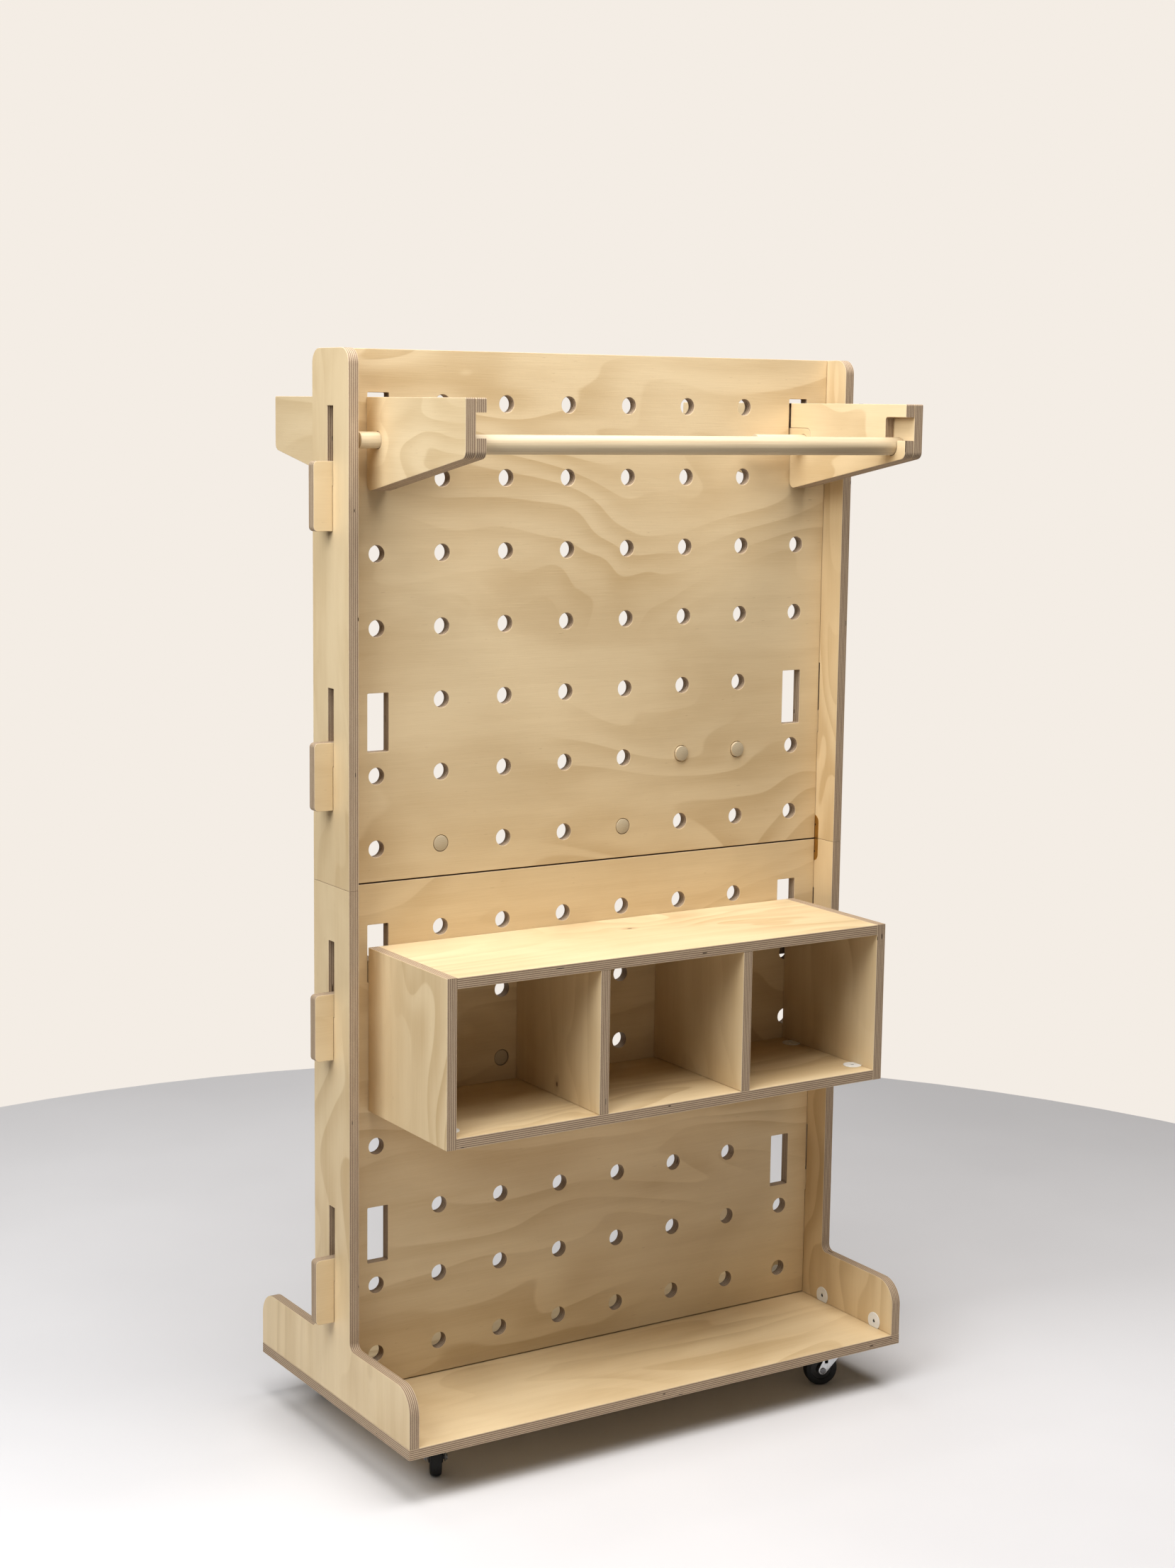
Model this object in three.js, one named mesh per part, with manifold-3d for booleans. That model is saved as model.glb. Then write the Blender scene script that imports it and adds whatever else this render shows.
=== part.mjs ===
// Pegboard display stand: a plywood floor stand on four swivel casters. Two perforated boards hook
// into a pair of inverted-T side panels. Brackets carry a hanging rail on each face of the stand,
// and an open box with three compartments hooks onto the lower board.
//
// Units are millimetres. The origin is on the floor below the middle of the boards: +X runs along
// the boards, +Y to the back of the stand and +Z up.

import * as THREE from 'three';
import { mergeVertices } from 'three/addons/utils/BufferGeometryUtils.js';
import Module from 'manifold-3d';

const wasm = await Module();
wasm.setup();

// Driving dimensions
const sheet = 15;                 // thickness of all the plywood
const fit = 0.3;                  // gap between pieces that touch
const casterHeight = 67;          // floor to the underside of the base
const innerWidth = 800;           // between the side panels
const baseDepth = 450;
const uprightDepth = 105;
const footHeight = 80;            // side panel's foot above the base
const footRadius = 35;
const footFillet = 10;
const panelTopRadius = 20;
const lowerPanelHeight = 720;
const upperPanelHeight = 715;

const pitch = 100;                // hole grid of the boards
const columnCount = 8;
const rowCount = 7;
const holeDiameter = 23.5;
const boardHeight = 715;
const bottomMargin = 45;          // board's bottom edge to its lowest row
const boardFloorGap = 3;          // level of the lower board's grid above the base
const lowerBoardSkirt = 1.5;      // lower board's extra height below that level
const boardEdgeGap = 0.5;         // board's edges to the side panels
const slotX = 347.7;              // slots take the place of the outer holes in two rows
const slotWidth = 32;
const slotAbove = 13;             // slot's top above the row's centre
const slotBelow = 67;
const slotRadius = 1.5;

const tabTops = [195, 568];       // hooks' top edges above the board's bottom edge
const tabHeight = 92;
const neckHeight = 33;
const tabReach = 28;              // hook's length outside the side panel
const tabSlotHeight = 105;
const tabSlotWidth = 17;
const tabSlotRadius = 0.8;
const tabRadius = 6;

const bracketReach = 271;         // front edge from the middle of the board
const bracketTop = 1454;
const bracketNose = 1380;         // underside at the front edge
const bracketHeel = 1329;         // underside at the board
const bracketRadius = 10;
const bracketTopRadius = 2;
const bracketX = 350;             // joint between the two layers
const railDiameter = 25;
const railLength = 698;
const railY = 240;
const railZ = 1396;
const notchTop = 1436;
const notchRadius = 4;
const seatClearance = 0.5;
const lipTop = 1404;
const tongueLow = 1381.2;
const tongueHigh = 1418;
const tongueReach = 55;
const tongueRadius = 8;
const pinHoleClearance = 1;       // on the pin's diameter

const dowelDiameter = 22;
const dowelLength = 146;
const pinY = -38;
const pinZ = 1398;
const pinInnerEnd = 248;

const boxWidth = 725;
const boxHeight = 230;
const boxDepth = 220;
const boxBottom = 482;
const dividerX = 118.3;           // middle of each divider
const boxNeck = 30;
const boxHookHeight = 70;
const boxHookReach = 22;
const boxHookRadius = 5;

const leafWidth = 32;
const leafLength = 35;
const leafThickness = 2.5;
const leafRadius = 10;
const screwDiameter = 4;
const screwSpread = 9;
const screwFromSeam = 20.5;

const camSetback = 9.5;           // middle of a cam housing from the joint it pulls together
const camFlange = 13.5;
const camBody = 8;
const camDepth = 11;
const camFlangeThickness = 1;
const camSocketDiameter = 5;
const camSocketDepth = 7;
const camOverlap = 0.5;           // drum's run into its flange

const casterX = 340;
const casterY = 163;
const wheelRadius = 25;
const casterTrail = 20;
const wheelWidth = 20;            // over the hub
const plateSize = 50;
const plateRadius = 5;
const plateThickness = 2.5;
const raceRadius = 16;
const raceLow = 55;
const crownLow = 52;
const crownHigh = 54.5;
const crownRadius = 19;
const legInner = 11.7;            // fork legs' inner faces from the middle of the wheel
const legThickness = 2;
const legHalf = 13;               // half a leg's width at the crown
const legEndRadius = 6.5;
const axleDiameter = 6;
const axleHeadDiameter = 9;
const axleHeadLength = 3;

// Derived levels
const baseTop = casterHeight + sheet;
const seam = baseTop + lowerPanelHeight;
const standTop = seam + upperPanelHeight;
const half = sheet / 2;
const sideInner = innerWidth / 2;
const sideOuter = sideInner + sheet;
const lowerBoardBottom = baseTop + boardFloorGap;
const upperBoardBottom = seam;

// Looks of each stock
const stocks = {
  ply: { color: 0xe3cfa6, roughness: 0.62, metalness: 0 },
  dowel: { color: 0xeadbbd, roughness: 0.6, metalness: 0 },
  brass: { color: 0xb08d4f, roughness: 0.35, metalness: 1 },
  nylon: { color: 0xf1f0ec, roughness: 0.5, metalness: 0 },
  zinc: { color: 0xc4c6c8, roughness: 0.35, metalness: 1 },
  rubber: { color: 0x161616, roughness: 0.75, metalness: 0 },
};

const stand = new THREE.Group();

function addPiece(name, geometry, stock, parent = stand) {
  const mesh = new THREE.Mesh(geometry, new THREE.MeshStandardMaterial(stocks[stock]));
  mesh.name = name;
  parent.add(mesh);
  return mesh;
}

// Booleans

function toSolid(geometry) {
  const bare = geometry.clone();
  bare.deleteAttribute('normal');
  bare.deleteAttribute('uv');
  const merged = mergeVertices(bare);
  return new wasm.Manifold(new wasm.Mesh({
    numProp: 3,
    vertProperties: new Float32Array(merged.attributes.position.array),
    triVerts: new Uint32Array(merged.index.array),
  }));
}

function toGeometry(solid) {
  const mesh = solid.getMesh();
  const geometry = new THREE.BufferGeometry();
  geometry.setAttribute('position', new THREE.BufferAttribute(new Float32Array(mesh.vertProperties), 3));
  geometry.setIndex(new THREE.BufferAttribute(new Uint32Array(mesh.triVerts), 1));
  geometry.computeVertexNormals();
  return geometry;
}

function cutAway(geometry, cutters) {
  let solid = toSolid(geometry);
  for (const cutter of cutters) {
    solid = solid.subtract(toSolid(cutter));
  }
  return toGeometry(solid);
}

function joinUp(geometries) {
  let solid = toSolid(geometries[0]);
  for (const geometry of geometries.slice(1)) {
    solid = solid.add(toSolid(geometry));
  }
  return toGeometry(solid);
}

// Outlines

function arcPoint(x, y, radius, angle) {
  return new THREE.Vector2(x + radius * Math.cos(angle), y + radius * Math.sin(angle));
}

// A closed outline through the corners [x, y, radius], each rounded by its own radius.
function roundedOutline(corners, steps = 5) {
  const points = [];
  corners.forEach(([x, y, radius = 0], i) => {
    const corner = new THREE.Vector2(x, y);
    if (radius === 0) {
      points.push(corner);
      return;
    }
    const before = corners[(i + corners.length - 1) % corners.length];
    const after = corners[(i + 1) % corners.length];
    const back = new THREE.Vector2(before[0], before[1]).sub(corner).normalize();
    const ahead = new THREE.Vector2(after[0], after[1]).sub(corner).normalize();
    const halfAngle = Math.acos(THREE.MathUtils.clamp(back.dot(ahead), -1, 1)) / 2;
    const toMiddle = radius / Math.sin(halfAngle);
    const toTangent = radius / Math.tan(halfAngle);
    const middle = back.clone().add(ahead).normalize().multiplyScalar(toMiddle).add(corner);
    const start = back.clone().multiplyScalar(toTangent).add(corner).sub(middle);
    const end = ahead.clone().multiplyScalar(toTangent).add(corner).sub(middle);
    let sweep = end.angle() - start.angle();
    if (sweep > Math.PI) {
      sweep -= 2 * Math.PI;
    }
    if (sweep < -Math.PI) {
      sweep += 2 * Math.PI;
    }
    for (let k = 0; k <= steps; k += 1) {
      const angle = start.angle() + (sweep * k) / steps;
      points.push(arcPoint(middle.x, middle.y, radius, angle));
    }
  });
  return points;
}

function circleOutline(x, y, diameter, sides = 12) {
  const points = [];
  for (let k = 0; k < sides; k += 1) {
    const angle = ((k + 0.5) * 2 * Math.PI) / sides;
    points.push(arcPoint(x, y, diameter / 2, angle));
  }
  return points;
}

function boxOutline(left, right, low, high, radius = 0, steps = 3) {
  return roundedOutline([
    [left, low, radius],
    [right, low, radius],
    [right, high, radius],
    [left, high, radius],
  ], steps);
}

// A sheet of the given outline and holes, from 0 to its thickness along its own Z.
function flatSheet(outline, holes = [], thickness = sheet) {
  const shape = new THREE.Shape(outline);
  shape.holes = holes.map((points) => new THREE.Path(points));
  return new THREE.ExtrudeGeometry(shape, { depth: thickness, bevelEnabled: false });
}

const axisX = new THREE.Vector3(1, 0, 0);
const axisY = new THREE.Vector3(0, 1, 0);
const axisZ = new THREE.Vector3(0, 0, 1);

// Outline in X and Z, thickness along Y from the given front face.
function facingSheet(outline, holes, front, thickness = sheet) {
  const turn = new THREE.Matrix4().makeBasis(axisX, axisZ, axisY.clone().negate());
  return flatSheet(outline, holes, thickness).applyMatrix4(turn).translate(0, front + thickness, 0);
}

// Outline in Y and Z, thickness along X from the given left face.
function sideSheet(outline, holes, left, thickness = sheet) {
  const turn = new THREE.Matrix4().makeBasis(axisY, axisZ, axisX);
  return flatSheet(outline, holes, thickness).applyMatrix4(turn).translate(left, 0, 0);
}

// A round rod along Z with a small chamfer at each end.
function rod(diameter, length, chamfer = 1, sides = 16) {
  const radius = diameter / 2;
  const profile = [
    [0, -length / 2],
    [radius - chamfer, -length / 2],
    [radius, chamfer - length / 2],
    [radius, length / 2 - chamfer],
    [radius - chamfer, length / 2],
    [0, length / 2],
  ];
  const geometry = new THREE.LatheGeometry(profile.map(([x, y]) => new THREE.Vector2(x, y)), sides);
  return geometry.rotateX(Math.PI / 2);
}

// Base

function addBase() {
  const outline = boxOutline(-sideOuter, sideOuter, -baseDepth / 2, baseDepth / 2);
  addPiece('base_board', flatSheet(outline), 'ply').position.z = casterHeight;
}

// Cam housings: a flanged nylon drum with one flat side, let into the face of a panel.

// The housing faces +Z, and its flat side faces -Y at the joint.
function camDrum(clearance) {
  const depth = camDepth + clearance;
  const outline = circleOutline(0, 0, 2 * (camBody + clearance), 12);
  return flatSheet(outline, [], depth + camOverlap).translate(0, 0, -depth);
}

function camHousing() {
  const chord = Math.asin((camSetback - fit) / camFlange);
  const flangePoints = [];
  const steps = 12;
  for (let k = 0; k <= steps; k += 1) {
    const angle = -chord + ((Math.PI + 2 * chord) * k) / steps;
    flangePoints.push(arcPoint(0, 0, camFlange, angle));
  }
  const flange = flatSheet(flangePoints, [], camFlangeThickness).translate(0, 0, fit);
  const socket = flatSheet(circleOutline(0, 0, camSocketDiameter, 8), [], camSocketDepth);
  socket.translate(0, 0, camFlangeThickness + 1 - camSocketDepth);
  return cutAway(joinUp([flange, camDrum(0)]), [socket]);
}

// Where each housing of one side panel sits, as distances along the panel's foot.
const baseCams = [-184.5, -58, 58, 184.5];

function placeOnSide(geometry, side, y) {
  // The housing's face turns to the inside of the stand, its flat side down.
  const inward = axisX.clone().multiplyScalar(-side);
  const across = new THREE.Vector3().crossVectors(axisZ, inward);
  const turn = new THREE.Matrix4().makeBasis(across, axisZ, inward);
  return geometry.applyMatrix4(turn).translate(side * sideInner, y, baseTop + camSetback);
}

function addBaseCams(side, sideName) {
  baseCams.forEach((y, i) => {
    addPiece(`base_cam_${sideName}_${i + 1}`, placeOnSide(camHousing(), side, y), 'nylon');
  });
}

// Side panels

function tabSlots(boardBottom) {
  return tabTops.map((top) => {
    const low = boardBottom + top - neckHeight;
    return boxOutline(-tabSlotWidth / 2, tabSlotWidth / 2, low, low + tabSlotHeight, tabSlotRadius, 1);
  });
}

function leafOutline(direction) {
  const width = leafWidth / 2;
  const near = direction * fit;
  const far = direction * leafLength;
  return roundedOutline([
    [-width, near],
    [width, near],
    [width, far, leafRadius],
    [-width, far, leafRadius],
  ], 3);
}

// The recess reaches just past the seam, so that it opens at the panel's end.
function leafRecess(side, direction) {
  const depth = leafThickness + fit;
  const width = leafWidth / 2 + fit;
  const far = direction * (leafLength + fit);
  const outline = roundedOutline([
    [-width, -direction],
    [width, -direction],
    [width, far, leafRadius],
    [-width, far, leafRadius],
  ], 3);
  const left = side > 0 ? sideInner - 1 : -sideInner - depth;
  return sideSheet(outline, [], left, depth + 1).translate(0, 0, seam);
}

function addSidePanels(side, sideName) {
  const left = side > 0 ? sideInner : -sideOuter;
  const front = -baseDepth / 2;
  const deep = uprightDepth / 2;
  const footTop = baseTop + footHeight;
  const bottom = baseTop + fit;
  const lowerOutline = roundedOutline([
    [front, bottom],
    [-front, bottom],
    [-front, footTop, footRadius],
    [deep, footTop, footFillet],
    [deep, seam - fit],
    [-deep, seam - fit],
    [-deep, footTop, footFillet],
    [front, footTop, footRadius],
  ], 6);
  const camPockets = baseCams.map((y) => placeOnSide(camDrum(fit), side, y));
  const lower = sideSheet(lowerOutline, tabSlots(lowerBoardBottom), left);
  addPiece(`side_panel_lower_${sideName}`, cutAway(lower, [...camPockets, leafRecess(side, -1)]), 'ply');

  const upperOutline = roundedOutline([
    [-deep, seam],
    [deep, seam],
    [deep, standTop, panelTopRadius],
    [-deep, standTop, panelTopRadius],
  ], 6);
  const upper = sideSheet(upperOutline, tabSlots(upperBoardBottom), left);
  addPiece(`side_panel_upper_${sideName}`, cutAway(upper, [leafRecess(side, 1)]), 'ply');
}

// Counterflap hinge across the seam of a side panel, sunk flush into its inner face.
function addHingeLeaves(side, sideName) {
  const left = side > 0 ? sideInner : -sideInner - leafThickness;
  [['lower', -1], ['upper', 1]].forEach(([name, direction]) => {
    const screwHoles = [-screwSpread, screwSpread].map((y) => (
      circleOutline(y, direction * screwFromSeam, screwDiameter, 8)
    ));
    const leaf = sideSheet(leafOutline(direction), screwHoles, left, leafThickness);
    addPiece(`hinge_leaf_${name}_${sideName}`, leaf.translate(0, 0, seam), 'brass');
  });
}

// Pegboards

const isSlotRow = (row) => row === 1 || row === 5;
const rowHeight = (row) => bottomMargin + (rowCount - row) * pitch;
const columnX = (column) => (column - (columnCount + 1) / 2) * pitch;

// The board's outline runs up its right edge and down its left one, with two hooks on each.
function pegboardOutline(low) {
  const edge = sideInner - boardEdgeGap;
  const hookInner = sideOuter + boardEdgeGap;
  const hookOuter = sideOuter + tabReach;
  const rightEdge = [];
  for (const top of tabTops) {
    rightEdge.push(
      [edge, top - neckHeight + fit],
      [hookInner, top - neckHeight + fit],
      [hookInner, top - tabHeight],
      [hookOuter, top - tabHeight, tabRadius],
      [hookOuter, top, tabRadius],
      [edge, top],
    );
  }
  const leftEdge = rightEdge.map(([x, z, radius]) => [-x, z, radius]).reverse();
  return roundedOutline([
    [-edge, low],
    [edge, low],
    ...rightEdge,
    [edge, boardHeight],
    [-edge, boardHeight],
    ...leftEdge,
  ], 3);
}

function pegboardHoles() {
  const holes = [];
  for (let row = 1; row <= rowCount; row += 1) {
    for (let column = 1; column <= columnCount; column += 1) {
      const x = columnX(column);
      const z = rowHeight(row);
      const outer = column === 1 || column === columnCount;
      if (outer && isSlotRow(row)) {
        const left = Math.sign(x) * slotX - slotWidth / 2;
        const low = z - slotBelow;
        holes.push(boxOutline(left, left + slotWidth, low, z + slotAbove, slotRadius, 2));
      } else {
        holes.push(circleOutline(x, z, holeDiameter));
      }
    }
  }
  return holes;
}

function addPegboards() {
  const lower = facingSheet(pegboardOutline(-lowerBoardSkirt), pegboardHoles(), -half);
  const upper = facingSheet(pegboardOutline(0), pegboardHoles(), -half);
  addPiece('pegboard_lower', lower, 'ply').position.z = lowerBoardBottom;
  addPiece('pegboard_upper', upper, 'ply').position.z = upperBoardBottom;
}

// Rail brackets: two layers of plywood on each face of the board. The inner layer has a notch that
// drops into a round seat. The rear bracket's tongue passes through the board's slot into the front
// bracket's inner layer, where a dowel pin locks it.

// Outline in distance from the middle of the board, forwards, and height.
function bracketInnerEdge(heel) {
  const seatRadius = railDiameter / 2 + seatClearance;
  const seat = [];
  const steps = 8;
  for (let k = 0; k <= steps; k += 1) {
    const point = arcPoint(railY, railZ, seatRadius, Math.PI + (Math.PI * k) / steps);
    seat.push([point.x, point.y]);
  }
  return [
    [heel, bracketTop],
    [bracketReach, bracketTop, bracketTopRadius],
    [bracketReach, notchTop],
    [railY - seatRadius, notchTop, notchRadius],
    ...seat,
    [railY + seatRadius, lipTop],
    [bracketReach, lipTop],
    [bracketReach, bracketNose, bracketRadius],
    [heel, bracketHeel, bracketRadius],
  ];
}

function addBracket(face, side, sideName) {
  const faceName = face < 0 ? 'front' : 'rear';
  const heel = half + fit;
  const outerEdge = [
    [heel, bracketTop],
    [bracketReach, bracketTop, bracketTopRadius],
    [bracketReach, bracketNose, bracketRadius],
    [heel, bracketHeel, bracketRadius],
  ];
  let innerEdge = bracketInnerEdge(heel);
  if (face < 0) {
    // pocket for the rear bracket's tongue
    innerEdge = [
      ...innerEdge,
      [heel, tongueLow - fit],
      [tongueReach + fit, tongueLow - fit, tongueRadius],
      [tongueReach + fit, tongueHigh + fit, tongueRadius],
      [heel, tongueHigh + fit],
    ];
  } else {
    innerEdge = [
      ...innerEdge,
      [heel, tongueLow],
      [-tongueReach, tongueLow, tongueRadius],
      [-tongueReach, tongueHigh, tongueRadius],
      [heel, tongueHigh],
    ];
  }
  const place = (edge) => roundedOutline(edge.map(([y, z, radius]) => [face * y, z, radius]), 4);
  const pinHole = circleOutline(pinY, pinZ, dowelDiameter + pinHoleClearance, 12);
  const outerLeft = side > 0 ? bracketX : -bracketX - sheet;
  const innerLeft = side > 0 ? bracketX - sheet - fit : -bracketX + fit;
  const outer = sideSheet(place(outerEdge), face < 0 ? [pinHole] : [], outerLeft);
  const inner = sideSheet(place(innerEdge), face < 0 ? [] : [pinHole], innerLeft);
  addPiece(`bracket_${faceName}_${sideName}_outer`, outer, 'ply');
  addPiece(`bracket_${faceName}_${sideName}_inner`, inner, 'ply');
}

function addBracketPin(side, sideName) {
  const pin = rod(dowelDiameter, dowelLength).rotateY(Math.PI / 2);
  pin.translate(side * (pinInnerEnd + dowelLength / 2), pinY, pinZ);
  addPiece(`bracket_pin_${sideName}`, pin, 'dowel');
}

function addRail(face) {
  const rail = rod(railDiameter, railLength, 1, 20).rotateY(Math.PI / 2);
  rail.translate(0, face * railY, railZ);
  addPiece(face < 0 ? 'rail_front' : 'rail_rear', rail, 'dowel');
}

// Pegs: loose dowels pushed through holes from the back, each nearly flush at the front.
const pegs = [
  { board: 'upper', row: 6, column: 6, proud: 3 },
  { board: 'upper', row: 6, column: 7, proud: 3 },
  { board: 'upper', row: 7, column: 2, proud: 0.5 },
  { board: 'upper', row: 7, column: 5, proud: 0.5 },
  { board: 'lower', row: 3, column: 3, proud: -1 },
];

function addPegs() {
  pegs.forEach(({ board, row, column, proud }, i) => {
    const bottom = board === 'upper' ? upperBoardBottom : lowerBoardBottom;
    const peg = rod(dowelDiameter, dowelLength).rotateX(Math.PI / 2);
    peg.translate(columnX(column), dowelLength / 2 - half - proud, bottom + rowHeight(row));
    addPiece(`peg_${i + 1}`, peg, 'dowel');
  });
}

// Box

function addBoxSide(side, sideName) {
  const front = -half - boxDepth;
  const back = -half - fit;
  const neckLow = lowerBoardBottom + rowHeight(1) - slotBelow + fit;
  const neckHigh = neckLow + boxNeck;
  const hookInner = half + boardEdgeGap;
  const hookOuter = half + boxHookReach;
  const outline = roundedOutline([
    [front, boxBottom],
    [back, boxBottom],
    [back, neckLow],
    [hookInner, neckLow],
    [hookInner, neckHigh - boxHookHeight],
    [hookOuter, neckHigh - boxHookHeight, boxHookRadius],
    [hookOuter, neckHigh, boxHookRadius],
    [back, neckHigh],
    [back, boxBottom + boxHeight],
    [front, boxBottom + boxHeight],
  ], 3);
  const left = side > 0 ? boxWidth / 2 - sheet : -boxWidth / 2;
  addPiece(`box_side_${sideName}`, sideSheet(outline, [], left), 'ply');
}

// Places of the four housings in the floor of the box.
const boxCamX = boxWidth / 2 - sheet - camSetback;
const boxCams = [
  { name: 'left_front', x: -boxCamX, y: -191.5 },
  { name: 'left_rear', x: -boxCamX, y: -43.5 },
  { name: 'right_front', x: boxCamX, y: -191.5 },
  { name: 'right_rear', x: boxCamX, y: -43.5 },
];

// The housing's flat side turns to the box's side panel.
function placeInBoxFloor(geometry, { x, y }) {
  return geometry.rotateZ(Math.sign(x) * Math.PI / 2).translate(x, y, boxBottom + sheet);
}

function addBox() {
  const inside = boxWidth / 2 - sheet - fit;
  const front = -half - boxDepth;
  const back = -half - fit;
  const panel = flatSheet(boxOutline(-inside, inside, front, back));
  const pockets = boxCams.map((cam) => placeInBoxFloor(camDrum(fit), cam));
  addPiece('box_top', panel.clone(), 'ply').position.z = boxBottom + boxHeight - sheet;
  addPiece('box_floor', cutAway(panel.translate(0, 0, boxBottom), pockets), 'ply');
  for (const cam of boxCams) {
    addPiece(`box_cam_${cam.name}`, placeInBoxFloor(camHousing(), cam), 'nylon');
  }
  const low = boxBottom + sheet + fit;
  const high = boxBottom + boxHeight - sheet - fit;
  const divider = boxOutline(front, back, low, high);
  addPiece('box_divider_left', sideSheet(divider, [], -dividerX - half), 'ply');
  addPiece('box_divider_right', sideSheet(divider, [], dividerX - half), 'ply');
}

// Casters. Each one stands about its own swivel axis, with the wheel trailing along its local +X.

function casterPlate() {
  const plateLow = casterHeight - fit - plateThickness;
  const corner = plateSize / 2;
  const plate = flatSheet(boxOutline(-corner, corner, -corner, corner, plateRadius), [], plateThickness);
  const race = new THREE.LatheGeometry([
    new THREE.Vector2(0, raceLow),
    new THREE.Vector2(raceRadius - 2, raceLow),
    new THREE.Vector2(raceRadius, raceLow + 2),
    new THREE.Vector2(raceRadius, plateLow - 2),
    new THREE.Vector2(raceRadius - 3, plateLow + 1),
    new THREE.Vector2(0, plateLow + 1),
  ], 16).rotateX(Math.PI / 2);
  return joinUp([plate.translate(0, 0, plateLow), race]);
}

// A leg tapers from the crown to a round end about the axle.
function forkLegOutline() {
  const top = crownHigh - 0.5;
  const rise = top - wheelRadius;
  const tangent = (x, turn) => {
    const reach = Math.hypot(x - casterTrail, rise);
    return Math.atan2(rise, x - casterTrail) + turn * Math.acos(legEndRadius / reach);
  };
  const from = tangent(-legHalf, 1);
  const to = tangent(legHalf, -1) + 2 * Math.PI;
  const points = [new THREE.Vector2(legHalf, top), new THREE.Vector2(-legHalf, top)];
  const steps = 8;
  for (let k = 0; k <= steps; k += 1) {
    points.push(arcPoint(casterTrail, wheelRadius, legEndRadius, from + ((to - from) * k) / steps));
  }
  return points;
}

function casterFork() {
  const crown = new THREE.LatheGeometry([
    new THREE.Vector2(0, crownLow),
    new THREE.Vector2(crownRadius, crownLow),
    new THREE.Vector2(crownRadius, crownHigh - 1),
    new THREE.Vector2(crownRadius - 1, crownHigh),
    new THREE.Vector2(0, crownHigh),
  ], 16).rotateX(Math.PI / 2);
  const pieces = [crown];
  const legWindow = boxOutline(12, 17, 36, 43);
  for (const left of [-legInner - legThickness, legInner]) {
    pieces.push(facingSheet(forkLegOutline(), [legWindow], left, legThickness));
  }
  const axleHalf = legInner + legThickness + fit + 1;
  const axle = rod(axleDiameter, 2 * axleHalf, 0.5, 8).rotateX(Math.PI / 2);
  pieces.push(axle.translate(casterTrail, 0, wheelRadius));
  for (const middle of [-axleHalf, axleHalf]) {
    const head = rod(axleHeadDiameter, axleHeadLength, 0.6, 8).rotateX(Math.PI / 2);
    pieces.push(head.translate(casterTrail, middle, wheelRadius));
  }
  return joinUp(pieces);
}

function casterWheel() {
  const bore = axleDiameter / 2 + fit;
  const hub = wheelWidth / 2;
  const tread = 8;
  const profile = [
    [bore, -hub],
    [tread, -hub],
    [tread + 1, -tread],
    [wheelRadius - 3, -tread],
    [wheelRadius, -tread + 3],
    [wheelRadius, tread - 3],
    [wheelRadius - 3, tread],
    [tread + 1, tread],
    [tread, hub],
    [bore, hub],
    [bore, -hub],
  ];
  const points = profile.map(([x, y]) => new THREE.Vector2(x, y));
  return new THREE.LatheGeometry(points, 20);
}

const casters = [
  { name: 'front_left', x: -casterX, y: -casterY, angle: 63 },
  { name: 'front_right', x: casterX, y: -casterY, angle: 161 },
  { name: 'rear_left', x: -casterX, y: casterY, angle: 75 },
  { name: 'rear_right', x: casterX, y: casterY, angle: 130 },
];

function addCasters() {
  for (const { name, x, y, angle } of casters) {
    const mount = new THREE.Group();
    mount.position.set(x, y, 0);
    stand.add(mount);
    addPiece(`caster_plate_${name}`, casterPlate(), 'zinc', mount);
    const swivel = new THREE.Group();
    swivel.rotation.z = THREE.MathUtils.degToRad(angle);
    mount.add(swivel);
    addPiece(`caster_fork_${name}`, casterFork(), 'zinc', swivel);
    const wheel = addPiece(`caster_wheel_${name}`, casterWheel(), 'rubber', swivel);
    wheel.position.set(casterTrail, 0, wheelRadius);
  }
}

// Assembly

addBase();
for (const [side, sideName] of [[-1, 'left'], [1, 'right']]) {
  addSidePanels(side, sideName);
  addHingeLeaves(side, sideName);
  addBaseCams(side, sideName);
  addBracket(-1, side, sideName);
  addBracket(1, side, sideName);
  addBracketPin(side, sideName);
  addBoxSide(side, sideName);
}
addPegboards();
addRail(-1);
addRail(1);
addPegs();
addBox();
addCasters();

export default stand;
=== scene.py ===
"""Looks of the plywood pegboard display stand.

Lengths in the design section are millimetres, in the frame of the CAD model: origin on the floor
below the middle of the boards, +X along them, +Y to the back and +Z up. Every outline is turned
into metres by MM as its mesh is made.
"""

import math

import bpy
from mathutils import Matrix, Vector
from mathutils.geometry import tessellate_polygon


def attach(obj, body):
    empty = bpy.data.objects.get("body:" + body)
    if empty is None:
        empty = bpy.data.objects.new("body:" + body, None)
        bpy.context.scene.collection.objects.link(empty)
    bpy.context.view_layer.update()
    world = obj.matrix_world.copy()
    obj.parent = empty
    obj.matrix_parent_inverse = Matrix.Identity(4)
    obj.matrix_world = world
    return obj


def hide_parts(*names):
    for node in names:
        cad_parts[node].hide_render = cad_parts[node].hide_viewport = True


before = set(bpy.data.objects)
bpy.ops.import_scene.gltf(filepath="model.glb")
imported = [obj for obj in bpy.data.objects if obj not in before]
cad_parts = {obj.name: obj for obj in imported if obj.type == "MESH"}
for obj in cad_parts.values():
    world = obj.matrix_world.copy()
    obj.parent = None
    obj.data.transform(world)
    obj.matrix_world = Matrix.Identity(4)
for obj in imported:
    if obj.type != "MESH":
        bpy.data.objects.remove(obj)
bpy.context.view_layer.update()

MM = 0.001

# Camera

CAMERA_PLACE = Vector((-1.910, -2.979, 1.443))
CAMERA_YAW = 0.5686
CAMERA_PITCH = -0.1492
CAMERA_ROLL = 0.0132
CAMERA_LENS = 57.4
SENSOR_WIDTH = 36.0


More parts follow.
